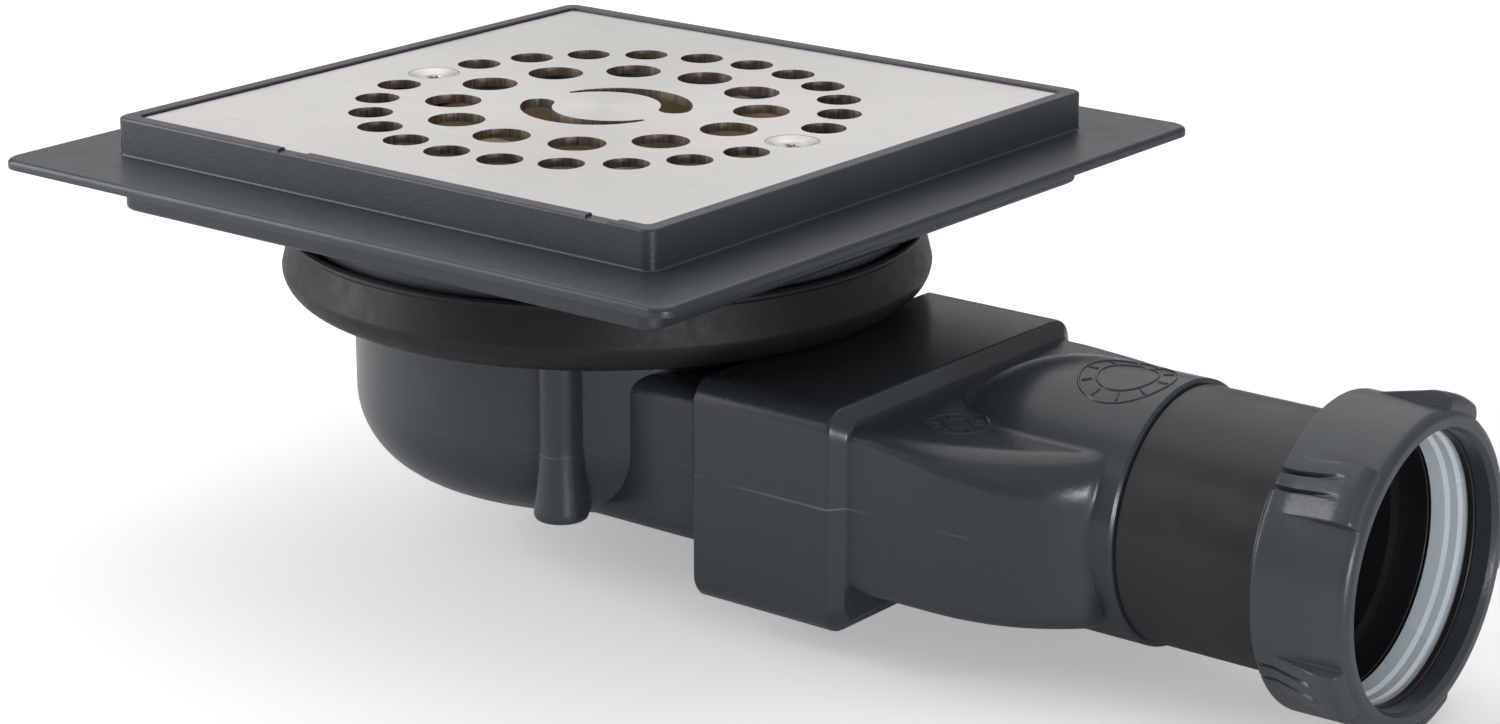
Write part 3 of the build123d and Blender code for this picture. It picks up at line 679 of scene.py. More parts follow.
def thread_outline(root, crest, top, bottom):
    """Saw-tooth side of a thread, as rings one pitch apart."""
    points = []
    turns = int((top - bottom) / THREAD_PITCH)
    for turn in range(turns):
        height = top - turn * THREAD_PITCH
        points += [(root, height), (crest, height - THREAD_PITCH * 0.5)]
    return points


def cross_cutter(span, width, low, high):
    """Cross recess that narrows downwards."""
    arms = []
    for length, breadth in ((span, width), (width, span)):
        rings = []
        for share, height in ((0.45, low), (1.0, high)):
            x = length / 2 * (share if length == span else 1)
            y = breadth / 2 * (share if breadth == span else 1)
            rings.append([(x, y, height), (-x, y, height), (-x, -y, height), (x, -y, height)])
        form = skin_rings(rings, closed=False)
        bmesh.ops.holes_fill(form, edges=form.edges, sides=4)
        bmesh.ops.recalc_face_normals(form, faces=form.faces)
        arms.append(close_form("arm", form))
    return carve(arms[0], arms[1], "UNION")


def grate_screw(node, side, body):
    low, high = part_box(node)
    top = high.z
    outline = softened([(0.0, top - 0.0008, 0), (0.0022, top - 0.0007, 0.0004),
                        (SCREW_HEAD_R - 0.0003, top, 0.0001),
                        (SCREW_HEAD_R, top, 0.0001),
                        (SCREW_HEAD_R, top - 0.0002, 0.0001), (SHANK_R + 0.0002, top - HEAD_T, 0)],
                        closed=False)
    outline += thread_outline(SHANK_R - 0.00035, SHANK_R, top - HEAD_T - 0.0004, low.z + 0.0012)
    outline += [(SHANK_R - 0.0004, low.z + 0.0008), (SHANK_R - 0.0008, low.z), (0.0, low.z)]
    screw = turned(outline, turns=64)
    carve(screw, cross_cutter(0.0044, 0.0010, top - 0.0013, top + 0.0002))
    screw.data.transform(Matrix.Translation((side * SCREW_CIRCLE, 0.0, 0.0)))
    screw.name = node + "_piece"
    deliver(shade(screw, polished_steel), body, "screw_steel", node)


grate_screw("grate_screw_left", -1, "screw_left")
grate_screw("grate_screw_right", 1, "screw_right")


# ---------------------------------------------------------------------------------------------
# Rubber collar: a black moulded cup that hugs the bowl's flange and closes the gap to the floor.
collar_rubber = mould_plastic(
    "collar rubber", (0.0090, 0.0080, 0.0072), (0.0130, 0.0116, 0.0104), 0.46, 0.56, 0.00007,
    {"Grain": 1900.0, "Flow": 26.0, "Rub": 300.0}, Specular_IOR_Level=0.35)
collar_low, collar_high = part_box("rubber_collar")
COLLAR_R = collar_high.x
COLLAR_WALL = 0.0020
BELLY_TOP = rim_top - 0.0260
BELLY_FOOT_R = 0.0485
BELLY_STEPS = 14
FLANGE_RING_TOP = rim_top - 0.0260


def belly(step):
    """Point on the collar's round belly, from its side down to its foot."""
    angle = pi / 2 * step / BELLY_STEPS
    return (BELLY_FOOT_R + (COLLAR_R - BELLY_FOOT_R) * cos(angle),
            BELLY_TOP - (BELLY_TOP - collar_low.z) * sin(angle))


collar_outline = softened([(COLLAR_R, collar_high.z, 0.0008), (COLLAR_R - COLLAR_WALL, collar_high.z, 0.0008),
                           (COLLAR_R - COLLAR_WALL, FLANGE_RING_TOP + 0.002, 0.0010),
                           (0.0417, FLANGE_RING_TOP + 0.002, 0.0003), (0.0417, FLANGE_RING_TOP + 0.0001, 0),
                           (0.0496, FLANGE_RING_TOP + 0.0001, 0), (0.0496, FLANGE_RING_TOP - 0.003, 0),
                           (0.0431, FLANGE_RING_TOP - 0.003, 0), (0.0431, collar_low.z, 0.0003)])
collar_outline += [belly(step) for step in range(BELLY_STEPS, -1, -1)]
# The outline starts at the rim's outer corner, so the belly's top joins it.
rubber_collar = turned(collar_outline, turns=192, name="rubber_collar_piece")
deliver(shade(rubber_collar, collar_rubber), "drain_body", "black_rubber", "rubber_collar")


# ---------------------------------------------------------------------------------------------
# Trap bowl: one grey ABS moulding with a round-bottomed bowl, three screw feet on its side and a
# wide flat spigot. The two halves of its mould meet in a faint line round the side, drawn as a pale painted
# highlight.
def part_plastic(name, seam_height, seam_highlight, dark, pale, gloss, rubbed_gloss, depth, skin):
    """Moulded plastic with a pale broken line where the mould's halves met: a painted highlight standing in
    for the parting ridge catching light.
    """
    material = mould_plastic(name, dark, pale, gloss, rubbed_gloss, depth, skin, Specular_IOR_Level=0.5)
    tree = material.node_tree
    shader = tree.nodes["Principled BSDF"]
    base = shader.inputs["Base Color"].links[0].from_socket
    place = put(tree, "ShaderNodeTexCoord").outputs["Object"]
    axes = put(tree, "ShaderNodeSeparateXYZ", {"Vector": place})
    height = put(tree, "ShaderNodeMath", {0: axes.outputs["Z"], 1: seam_height}, operation="SUBTRACT")
    away = put(tree, "ShaderNodeMath", {0: height}, operation="ABSOLUTE")
    line = put(tree, "ShaderNodeMapRange", {"Value": away, "From Min": 0.0001, "From Max": 0.00022,
                                            "To Min": 1.0, "To Max": 0.0})
    seam_highlight_breaks = put(tree, "ShaderNodeTexNoise", {"Vector": place, "Scale": 70.0, "Detail": 2.0})
    broken = put(tree, "ShaderNodeMapRange", {"Value": seam_highlight_breaks, "From Min": 0.50, "From Max": 0.95})
    amount = put(tree, "ShaderNodeMath", {0: line, 1: broken}, operation="MULTIPLY")
    # Painted highlight: the pale seam colour is mixed into the base colour along the parting line, broken up
    # by noise.
    lit = put(tree, "ShaderNodeMix", {0: amount, 6: base, 7: (*seam_highlight, 1.0)}, data_type="RGBA")
    tree.links.new(lit.outputs[2], shader.inputs["Base Color"])
    return material


bowl_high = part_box("trap_bowl")[1]
BOWL_R = 0.0430
BOWL_WALL = 0.0020
BOWL_EDGE_R = 0.0140
BOWL_SEAM = rim_top - 0.0470
bowl_floor = rim_top - 0.0615
FLANGE_RING_R = 0.0495
FLANGE_RING_LOW = FLANGE_RING_TOP - 0.003
THROAT_IN = 0.0396
THROAT_OUT = 0.0416
FOOT_CIRCLE = 0.0434
FOOT_ANGLES = (radians(-60), radians(60), radians(180))
FOOT_LOW = rim_top - 0.0582
FOOT_FLARE = 0.0130
FOOT_R = 0.0035
FOOT_SPREAD = 0.0011     # how much wider a foot is at its tip
FOOT_EDGE = 0.0010       # rounding of the tip
# The pale seam colour (0.10, 0.11, 0.12) is a painted highlight along the bowl's parting line.
bowl_plastic = part_plastic("bowl plastic", BOWL_SEAM, (0.10, 0.11, 0.12), (0.028, 0.034, 0.040),
                            (0.034, 0.041, 0.048), 0.26, 0.285, 0.00004,
                            {"Grain": 2200.0, "Flow": 24.0, "Rub": 120.0})


def smooth_larger(first, second, blend):
    """The larger of two lengths, with a fillet of about the blend's size where they cross."""
    overlap = max(blend - abs(first - second), 0.0) / blend
    return max(first, second) + overlap * overlap * blend / 4


def bowl_reach(height):
    """Radius of the bowl's outside, without its feet."""
    below = bowl_floor + BOWL_EDGE_R - height
    if below <= 0:
        return BOWL_R
    return BOWL_R - BOWL_EDGE_R + sqrt(max(BOWL_EDGE_R ** 2 - below ** 2, 0.0))


def foot_radius(height):
    share = min(max((FOOT_LOW + FOOT_FLARE - height) / FOOT_FLARE, 0.0), 1.0)
    edge = max(FOOT_EDGE - (height - FOOT_LOW), 0.0)
    rounding = FOOT_EDGE - sqrt(max(FOOT_EDGE ** 2 - edge ** 2, 0.0))
    return FOOT_R + FOOT_SPREAD * share ** 1.3 - rounding


def foot_reach(angle, height):
    """How far a foot stands out along one direction, or nothing where it isn't."""
    reach = 0.0
    for foot_angle in FOOT_ANGLES:
        swing = (angle - foot_angle + pi) % (2 * pi) - pi
        spread = foot_radius(height) ** 2 - (FOOT_CIRCLE * sin(swing)) ** 2
        if spread > 0 and abs(swing) < 1:
            reach = max(reach, FOOT_CIRCLE * cos(swing) + sqrt(spread))
    return reach


bowl_angles = {radians(2 * step) for step in range(180)}
for foot_angle in FOOT_ANGLES:
    bowl_angles |= {(foot_angle + radians(0.25 * step)) % (2 * pi) for step in range(-30, 31)}
bowl_angles = sorted({round(angle, 6) for angle in bowl_angles})


def bowl_ring(height, radius=None):
    ring = []
    for angle in bowl_angles:
        reach = radius or smooth_larger(bowl_reach(height), foot_reach(angle, height), 0.0009)
        ring.append((reach * cos(angle), reach * sin(angle), height))
    return ring


outer_rings = [[(0.0, 0.0, bowl_floor)]]
for step in range(0, 7):
    swing = pi / 2 * step / 16
    height = bowl_floor + BOWL_EDGE_R * (1 - cos(swing))
    if height < FOOT_LOW:
        outer_rings.append(bowl_ring(height, BOWL_R - BOWL_EDGE_R + BOWL_EDGE_R * sin(swing)))
outer_rings.append(bowl_ring(FOOT_LOW, bowl_reach(FOOT_LOW)))
for rise in (0.0, 0.00008, 0.0002, 0.00035, 0.0006, 0.0010, 0.0018, 0.0028, 0.0040, 0.0054, 0.0068, 0.0084,
             0.0100, 0.0117, 0.0130, 0.0175, 0.0230, 0.0280):
    outer_rings.append(bowl_ring(FOOT_LOW + rise))
outer_rings += [bowl_ring(FLANGE_RING_LOW, BOWL_R), bowl_ring(FLANGE_RING_LOW, FLANGE_RING_R),
                bowl_ring(FLANGE_RING_TOP, FLANGE_RING_R), bowl_ring(FLANGE_RING_TOP, THROAT_OUT),
                bowl_ring(bowl_high.z - 0.0003, THROAT_OUT), bowl_ring(bowl_high.z, THROAT_OUT - 0.0003),
                [(0.0, 0.0, bowl_high.z)]]
trap_bowl = close_form("trap_bowl_piece", skin_rings(outer_rings, closed=False))


def duct_block(name, half_width, low, high, start, end, corner):
    """Block along X with rounded long edges."""
    flat = [(half_width, high, corner), (-half_width, high, corner), (-half_width, low, corner),
            (half_width, low, corner)]
    section = softened(flat, steps=6)
    middle = (low + high) / 2
    rings = [[(start, 0.0, middle)]]
    rings += [[(x, y, z) for y, z in section] for x in (start, end)]
    rings.append([(end, 0.0, middle)])
    return close_form(name, skin_rings(rings, closed=False))


SPIGOT_HALF = 0.0305
SPIGOT_LOW = rim_top - 0.0604
SPIGOT_TOP = rim_top - 0.0341
spigot_end = bowl_high.x
carve(trap_bowl, duct_block("spigot", SPIGOT_HALF, SPIGOT_LOW, SPIGOT_TOP, 0.020, spigot_end, 0.0035),
      "UNION")
inner_floor = bowl_floor + BOWL_WALL
inner_edge = BOWL_EDGE_R - BOWL_WALL
hollow = [(0.0, inner_floor, 0), (BOWL_R - BOWL_WALL, inner_floor, inner_edge),
          (BOWL_R - BOWL_WALL, FLANGE_RING_LOW - 0.003, 0.0008), (THROAT_IN, FLANGE_RING_LOW - 0.002, 0.0008),
          (THROAT_IN, bowl_high.z + 0.001, 0), (0.0, bowl_high.z + 0.001, 0)]
carve(trap_bowl, turned(softened(hollow, closed=False, steps=10)))
carve(trap_bowl, duct_block("water way", SPIGOT_HALF - BOWL_WALL, SPIGOT_LOW + BOWL_WALL,
                            SPIGOT_TOP - BOWL_WALL,
                            0.025, spigot_end + 0.001, 0.0020))
deliver(shade(trap_bowl, bowl_plastic), "drain_body", "grey_abs", "trap_bowl")


# ---------------------------------------------------------------------------------------------
# Outlet adapter: a flat socket that slides over the spigot, then a nose whose long curve draws
# the flow in to the round sleeve. The sleeve rises out of the nose as a smooth hump.
adapter_low, adapter_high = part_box("outlet_adapter")
OUTLET_Z = (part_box("outlet_pipe")[0].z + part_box("outlet_pipe")[1].z) / 2
SOCKET_END = 0.0735
SOCKET_WALL = 0.0023
SLEEVE_END = adapter_high.x
NOSE_HALF = 0.0305
NOSE_UP = rim_top - 0.0343 - OUTLET_Z
NOSE_DOWN = OUTLET_Z - (rim_top - 0.0613)
NOSE_STRAIGHT = 0.0840
NOSE_END = 0.1120
NOSE_TIP_HALF = 0.0200
HUMP_R = 0.0210
HUMP_FULL = 0.0980
HUMP_RUN = 0.0260
STUB_R = 0.0191
# The pale seam colour (0.20, 0.21, 0.22) is a painted highlight along the adapter's parting line at the
# outlet axis height.
adapter_plastic = part_plastic("adapter plastic", OUTLET_Z, (0.20, 0.21, 0.22), (0.028, 0.033, 0.038),
                               (0.034, 0.040, 0.046), 0.26, 0.285, 0.00004,
                               {"Grain": 2300.0, "Flow": 20.0, "Rub": 110.0})
ADAPTER_RAYS = 360


def rectangle_reach(angle, half_width, up, down, corner):
    """Distance from the outlet's axis to a rectangle with round corners."""
    across, rise = abs(cos(angle)), sin(angle)
    half_height = up if rise > 0 else down
    rise = abs(rise)
    reach = min(half_width / max(across, 1e-9), half_height / max(rise, 1e-9))
    centre_y, centre_z = half_width - corner, half_height - corner
    if reach * across > centre_y and reach * rise > centre_z:
        along = across * centre_y + rise * centre_z
        reach = along + sqrt(max(along ** 2 - centre_y ** 2 - centre_z ** 2 + corner ** 2, 0.0))
    return reach


def hump_radius(x):
    """Dome that opens into the sleeve."""
    share = min(max((HUMP_FULL - x) / HUMP_RUN, 0.0), 1.0)
    return HUMP_R * sqrt(max(1 - share ** 2, 0.0))


def nose_half_width(x):
    """Straight sides, then one long arc in to the sleeve's side."""
    if x <= NOSE_STRAIGHT:
        return NOSE_HALF
    share = (x - NOSE_STRAIGHT) / (NOSE_END - NOSE_STRAIGHT)
    return NOSE_HALF - (NOSE_HALF - NOSE_TIP_HALF) * share ** 3.0


def nose_reach(angle, x, shrink=0.0, inset=0.0):
    """Reach of the adapter past its socket; inset draws in the nose but not the hump."""
    corner = 0.0024 + 0.0046 * min(max((x - 0.078) / 0.026, 0.0), 1.0)
    low_corner = 0.0026
    chosen = corner if sin(angle) > 0 else low_corner
    less = shrink + inset
    body = rectangle_reach(angle, nose_half_width(x) - less, NOSE_UP - less, NOSE_DOWN - less, chosen)
    return smooth_larger(body, hump_radius(x) - shrink, 0.0007)


def adapter_ring(x, reach):
    """Ring at one station, from a length or a rule that gives one for each direction."""
    ring = []
    for step in range(ADAPTER_RAYS):
        angle = 2 * pi * step / ADAPTER_RAYS
        length = reach(angle) if callable(reach) else reach
        ring.append((x, length * cos(angle), OUTLET_Z + length * sin(angle)))
    return ring


def socket_reach(shrink, corner):
    half = adapter_high.y - shrink
    up = rim_top - 0.0315 - OUTLET_Z - shrink
    down = OUTLET_Z - adapter_low.z - shrink
    return lambda angle: rectangle_reach(angle, half, up, down, corner)


def nose_at(x, shrink=0.0):
    return adapter_ring(x, lambda angle: nose_reach(angle, x, shrink))


adapter_rings = [adapter_ring(adapter_low.x, socket_reach(SOCKET_WALL - 0.0004, 0.0030)),
                 adapter_ring(adapter_low.x, socket_reach(0.0006, 0.0040)),
                 adapter_ring(adapter_low.x + 0.0002, socket_reach(0.0002, 0.0040)),
                 adapter_ring(adapter_low.x + 0.0006, socket_reach(0.0, 0.0040)),
                 adapter_ring(0.0600, socket_reach(0.0, 0.0040))]
for run, drop in ((0.0024, 0.0), (0.0020, 0.00004), (0.0017, 0.00018), (0.0015, 0.00040), (0.0002, 0.0021),
                  (0.0, 0.0023)):
    adapter_rings.append(adapter_ring(SOCKET_END - run, socket_reach(drop, 0.0040 - drop / 2)))
adapter_rings += [nose_at(SOCKET_END + 0.0001, -0.0001), nose_at(SOCKET_END + 0.0004)]
NOSE_STATIONS = 58
for step in range(1, NOSE_STATIONS):
    share = sin(pi / 2 * step / NOSE_STATIONS) * 0.35 + 0.65 * step / NOSE_STATIONS
    adapter_rings.append(nose_at(SOCKET_END + 0.0004 + (NOSE_END - 0.0016 - SOCKET_END) * share))
TIP_ROUND = 0.0012
for step in range(6):
    swing = pi / 2 * step / 5
    x = NOSE_END - TIP_ROUND + TIP_ROUND * sin(swing)
    inset = TIP_ROUND * (1 - cos(swing))
    adapter_rings.append(adapter_ring(x, lambda angle: nose_reach(angle, x, 0.0, inset)))
adapter_rings += [adapter_ring(NOSE_END + 0.0001, HUMP_R), adapter_ring(SLEEVE_END - 0.0004, HUMP_R),
                  adapter_ring(SLEEVE_END, HUMP_R - 0.0004), adapter_ring(SLEEVE_END, STUB_R),
                  adapter_ring(0.0975, STUB_R), adapter_ring(0.0970, STUB_R - 0.0008)]
for x in (0.0955, 0.0935, 0.0910, 0.0880, 0.0850, 0.0810, 0.0770, 0.0740, 0.0700):
    adapter_rings.append(nose_at(x, 0.0024 if x > 0.080 else 0.0020))
adapter_rings += [adapter_ring(0.0697, socket_reach(SOCKET_WALL, 0.0030)),
                  adapter_ring(adapter_low.x + 0.0004, socket_reach(SOCKET_WALL, 0.0030))]
outlet_adapter = close_form("outlet_adapter_piece", skin_rings(adapter_rings, closed=True))
deliver(shade(outlet_adapter, adapter_plastic, 38.0), "drain_body", "grey_abs", "outlet_adapter")

# Mould marks: a small plain date wheel on the nose and a plain double ring on the hump, raised a
# hair above the adapter's skin and coloured through like it.
RIDGE = 0.00022


def surface_point(x, y):
    """Point of the adapter's upper skin above a place in plan."""
    low, high = 0.2, pi - 0.2
    for _ in range(40):
        angle = (low + high) / 2
        if nose_reach(angle, x) * cos(angle) > y:
            low = angle
        else:
            high = angle
    length = nose_reach(angle, x)
    return Vector((x, y, OUTLET_Z + length * sin(angle)))


def ridge_line(points, closed):
    """Thin raised line along the skin."""
    curve = bpy.data.curves.new("ridge", "CURVE")
    curve.dimensions = "3D"
    curve.bevel_depth = RIDGE
    curve.bevel_resolution = 1
    curve.use_fill_caps = True
    spline = curve.splines.new("POLY")
    spline.points.add(len(points) - 1)
    for slot, point in zip(spline.points, points):
        slot.co = (*point, 1.0)
    spline.use_cyclic_u = closed
    holder = bpy.data.objects.new("ridge", curve)
    scene.collection.objects.link(holder)
    graph = bpy.context.evaluated_depsgraph_get()
    mesh = bpy.data.meshes.new_from_object(holder.evaluated_get(graph), depsgraph=graph)
    line = bpy.data.objects.new("ridge", mesh)
    scene.collection.objects.link(line)
    bpy.data.objects.remove(holder)
    return line


def mould_mark(name, middle, radii, ticks, tick_span):
    """Concentric rings with short ticks between them."""
    lines = []
    for radius in radii:
        steps = 56
        lines.append(ridge_line([surface_point(middle[0] + radius * cos(2 * pi * step / steps),
                                               middle[1] + radius * sin(2 * pi * step / steps))
                                 for step in range(steps)], True))
    for tick in range(ticks):
        angle = 2 * pi * tick / ticks
        ends = [surface_point(middle[0] + reach * cos(angle), middle[1] + reach * sin(angle))
                for reach in (tick_span[0], (tick_span[0] + tick_span[1]) / 2, tick_span[1])]
        lines.append(ridge_line(ends, False))
    mark = join(name, lines)
    deliver(shade(mark, adapter_plastic), "drain_body", "grey_abs")


mould_mark("date_wheel", (0.0854, -0.0181), (0.0048, 0.0022), 12, (0.0028, 0.0042))
mould_mark("hump_mark", (0.1058, -0.0024), (0.0075, 0.0047), 10, (0.0054, 0.0070))


# ---------------------------------------------------------------------------------------------
# Outlet pipe: a black extruded stub glued into the sleeve, its thread and mouth under the nut.
pipe_low, pipe_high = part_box("outlet_pipe")
PIPE_R = 0.0202
PIPE_IN = 0.0176
THREAD_R = 0.02292
BORE_R = 0.02015
pipe_black = mould_plastic(
    "pipe plastic", (0.009, 0.0098, 0.011), (0.013, 0.0142, 0.016), 0.32, 0.44, 0.00003,
    {"Grain": 1500.0, "Flow": 18.0, "Rub": 70.0}, Specular_IOR_Level=0.5)
pipe_outline = softened([
    (PIPE_IN, pipe_low.x, 0.0003), (STUB_R - 0.0001, pipe_low.x, 0.0004), (STUB_R - 0.0001, SLEEVE_END, 0),
    (PIPE_R - 0.0003, SLEEVE_END, 0), (PIPE_R - 0.0003, SLEEVE_END + 0.0002, 0),
    (PIPE_R, SLEEVE_END + 0.0004, 0.0001),
    (PIPE_R, 0.1390, 0.0008), (THREAD_R - 0.0006, 0.1425, 0.0005)])
for turn in range(3):
    start = 0.1431 + 0.0024 * turn
    pipe_outline += [(THREAD_R - 0.0006, start), (THREAD_R, start + 0.0005), (THREAD_R, start + 0.0011),
                     (THREAD_R - 0.0006, start + 0.0016)]
pipe_outline += softened([
    (THREAD_R - 0.0003, pipe_high.x, 0.0003), (0.0219, pipe_high.x, 0.0002), (0.0209, 0.1460, 0),
    (BORE_R, 0.1460, 0.0002), (BORE_R, 0.1410, 0), (PIPE_IN, 0.1410, 0.0004)], closed=False)
outlet_pipe = turned(pipe_outline, turns=160, axis="X", height=OUTLET_Z, name="outlet_pipe_piece")
deliver(shade(outlet_pipe, pipe_black), "drain_body", "black_pipe", "outlet_pipe")


# ---------------------------------------------------------------------------------------------
# Compression nut: grey moulding with five grip lugs that ramp up to the front; two tapered cuts
# run into each lug from the back. Below it sit a black thrust washer and a clear cone seal.
nut_low, nut_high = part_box("compression_nut")
NUT_R = 0.0246
NUT_BORE = 0.0230
NUT_OPENING = 0.0212
LUG_R = 0.0265
LUGS = 5
LUG_FIRST = 67.0
LUG_HALF = 10.5
LUG_START = nut_low.x + 0.0030
LUG_FULL = nut_high.x - 0.0040
CUT_AT = (-4.2, 2.4)     # degrees from the lug's middle
CUT_HALF = 0.00042
CUT_DEPTH = 0.0011
CUT_LENGTH = 0.0112
nut_plastic = mould_plastic(
    "nut plastic", (0.036, 0.041, 0.047), (0.048, 0.054, 0.061), 0.30, 0.36, 0.00007,
    {"Grain": 1700.0, "Flow": 40.0, "Rub": 240.0}, Specular_IOR_Level=0.5)


def nut_skin(x):
    """Outside radius of the nut between its lugs."""
    back = x - nut_low.x
    front = nut_high.x - x
    radius = NUT_R - 0.0002 * min(max(back / 0.014, 0.0), 1.0)
    if back < 0.0005:
        radius -= 0.0005 - sqrt(max(0.0005 ** 2 - (0.0005 - back) ** 2, 0.0))
    if front < 0.0016:
        radius -= 0.0016 - sqrt(max(0.0016 ** 2 - (0.0016 - front) ** 2, 0.0))
    return radius


def lug_rise(x):
    """Height of a lug above the skin: a straight ramp, a short flat and a rounded front."""
    front = nut_high.x - 0.0006 - x
    rise = (LUG_R - NUT_R + 0.0002) * min(max((x - LUG_START) / (LUG_FULL - LUG_START), 0.0), 1.0)
    if front <= 0:
        return 0.0
    return min(rise, sqrt(max(2 * 0.0012 * front - min(front, 0.0012) ** 2, 0.0)) * 1.6)


def nut_directions():
    """Directions round the nut, set close at the lugs' sides and at their cuts."""
    cut_edge = CUT_HALF / NUT_R * 180 / pi
    marks = {}
    for lug in range(LUGS):
        middle = LUG_FIRST + lug * 360 / LUGS
        offsets = {-LUG_HALF - 0.45: 0, -LUG_HALF - 0.1: 0.12, -LUG_HALF + 0.1: 0.9, -LUG_HALF + 0.5: 1.0,
                   LUG_HALF + 0.45: 0, LUG_HALF + 0.1: 0.12, LUG_HALF - 0.1: 0.9, LUG_HALF - 0.5: 1.0}
        for step in range(-9, 10):
            if all(abs(step - cut) > cut_edge + 0.2 for cut in CUT_AT):
                offsets[float(step)] = 1.0
        for offset, share in offsets.items():
            marks[middle + offset] = (share, 0.0)
        for cut in CUT_AT:
            for part, depth in ((-1.0, 0.0), (-0.55, 0.85), (-0.2, 1.0), (0.2, 1.0), (0.55, 0.85),
                                (1.0, 0.0)):
                marks[middle + cut + part * cut_edge] = (1.0, depth)
        for step in range(1, 26):
            marks[middle + LUG_HALF + 0.45 + step * (360 / LUGS - 2 * LUG_HALF - 0.9) / 26] = (0.0, 0.0)
    return sorted(marks.items())


nut_marks = nut_directions()


def nut_ring(x, inset=0.0, radius=None):
    ring = []
    for degrees, (share, cut) in nut_marks:
        reach = radius
        if radius is None:
            fade = max(1 - (x - nut_low.x) / CUT_LENGTH, 0.0)
            reach = nut_skin(x) - inset + share * lug_rise(x) - CUT_DEPTH * cut * min(fade * 2.2, 1.0)
        angle = radians(degrees)
        ring.append((x, reach * cos(angle), OUTLET_Z + reach * sin(angle)))
    return ring


back_runs = [0.0, 0.00008, 0.00025, 0.0005]
middle_runs = [0.001 + 0.00075 * step for step in range(17)]
front_runs = [0.00001, 0.0001, 0.0003, 0.0006, 0.00062, 0.0007, 0.0009, 0.0012, 0.0016, 0.0021]
nut_stations = [nut_low.x + run for run in back_runs + middle_runs]
nut_stations += [nut_high.x - run for run in front_runs[::-1]]
nut_rings = [nut_ring(x) for x in nut_stations]
for reach, x in softened([(NUT_R - 0.0018, nut_high.x, 0.0002), (NUT_OPENING + 0.0006, nut_high.x, 0.0002),
                          (NUT_OPENING, nut_high.x - 0.0009, 0.0003), (NUT_OPENING, nut_high.x - 0.0035, 0),
                          (NUT_BORE, nut_high.x - 0.0035, 0)], closed=False):
    nut_rings.append(nut_ring(x, radius=reach))
for turn in range(3):
    start = nut_high.x - 0.0055 - 0.0024 * turn
    for reach, x in ((NUT_BORE + 0.0003, start), (NUT_BORE, start - 0.0005), (NUT_BORE, start - 0.0011),
                     (NUT_BORE + 0.0003, start - 0.0016)):
        nut_rings.append(nut_ring(x, radius=reach))
nut_rings.append(nut_ring(nut_low.x, radius=NUT_BORE + 0.0002))
compression_nut = close_form("compression_nut_piece", skin_rings(nut_rings, closed=True))
deliver(shade(compression_nut, nut_plastic, 40.0), "nut", "nut_pp", "compression_nut")

washer_plastic = mould_plastic("washer plastic", (0.010, 0.010, 0.011), (0.016, 0.016, 0.017), 0.35, 0.5,
                               0.00002)
washer_low, washer_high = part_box("thrust_washer")
washer = turned(softened([(0.0209, washer_low.x, 0.0002), (0.0227, washer_low.x, 0.0002),
                          (0.0227, washer_high.x, 0.0002), (0.0209, washer_high.x, 0.0003)]),
                turns=120, axis="X", height=OUTLET_Z, name="thrust_washer_piece")
deliver(shade(washer, washer_plastic), "seal_pack", "washer_pp", "thrust_washer")

seal_low, seal_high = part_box("cone_seal")
seal_clear, seal_tree, seal_shader = start_material(
    "clear seal", Transmission_Weight=0.05, IOR=1.42, Subsurface_Weight=0.3, Subsurface_Scale=0.002,
    Specular_IOR_Level=0.5)
cloud = put(seal_tree, "ShaderNodeTexNoise", {"Vector": put(seal_tree,
                                                            "ShaderNodeTexCoord").outputs["Object"],
                                              "Scale": 120.0, "Detail": 3.0})
milk = put(seal_tree, "ShaderNodeMix", {0: cloud, 6: (0.70, 0.75, 0.80, 1.0), 7: (0.80, 0.84, 0.88, 1.0)},
           data_type="RGBA")
gloss = put(seal_tree, "ShaderNodeMapRange", {"Value": cloud, "To Min": 0.18, "To Max": 0.34})
seal_tree.links.new(milk.outputs[2], seal_shader.inputs["Base Color"])
seal_tree.links.new(gloss.outputs["Result"], seal_shader.inputs["Roughness"])
cone_seal = turned(softened([
    (0.02025, seal_low.x, 0.0001), (0.0208, seal_low.x, 0.0002), (0.0217, 0.1509, 0.0002),
    (0.0226, 0.1511, 0.0002),
    (0.0226, seal_high.x, 0.0002), (0.0212, seal_high.x, 0.0003), (0.0212, 0.1513, 0.0002),
    (0.0208, 0.1507, 0.0002),
    (0.0208, 0.1494, 0.0002), (0.0204, 0.1487, 0.0002)]), turns=144, axis="X", height=OUTLET_Z,
    name="cone_seal_piece")
deliver(shade(cone_seal, seal_clear), "seal_pack", "clear_seal", "cone_seal")


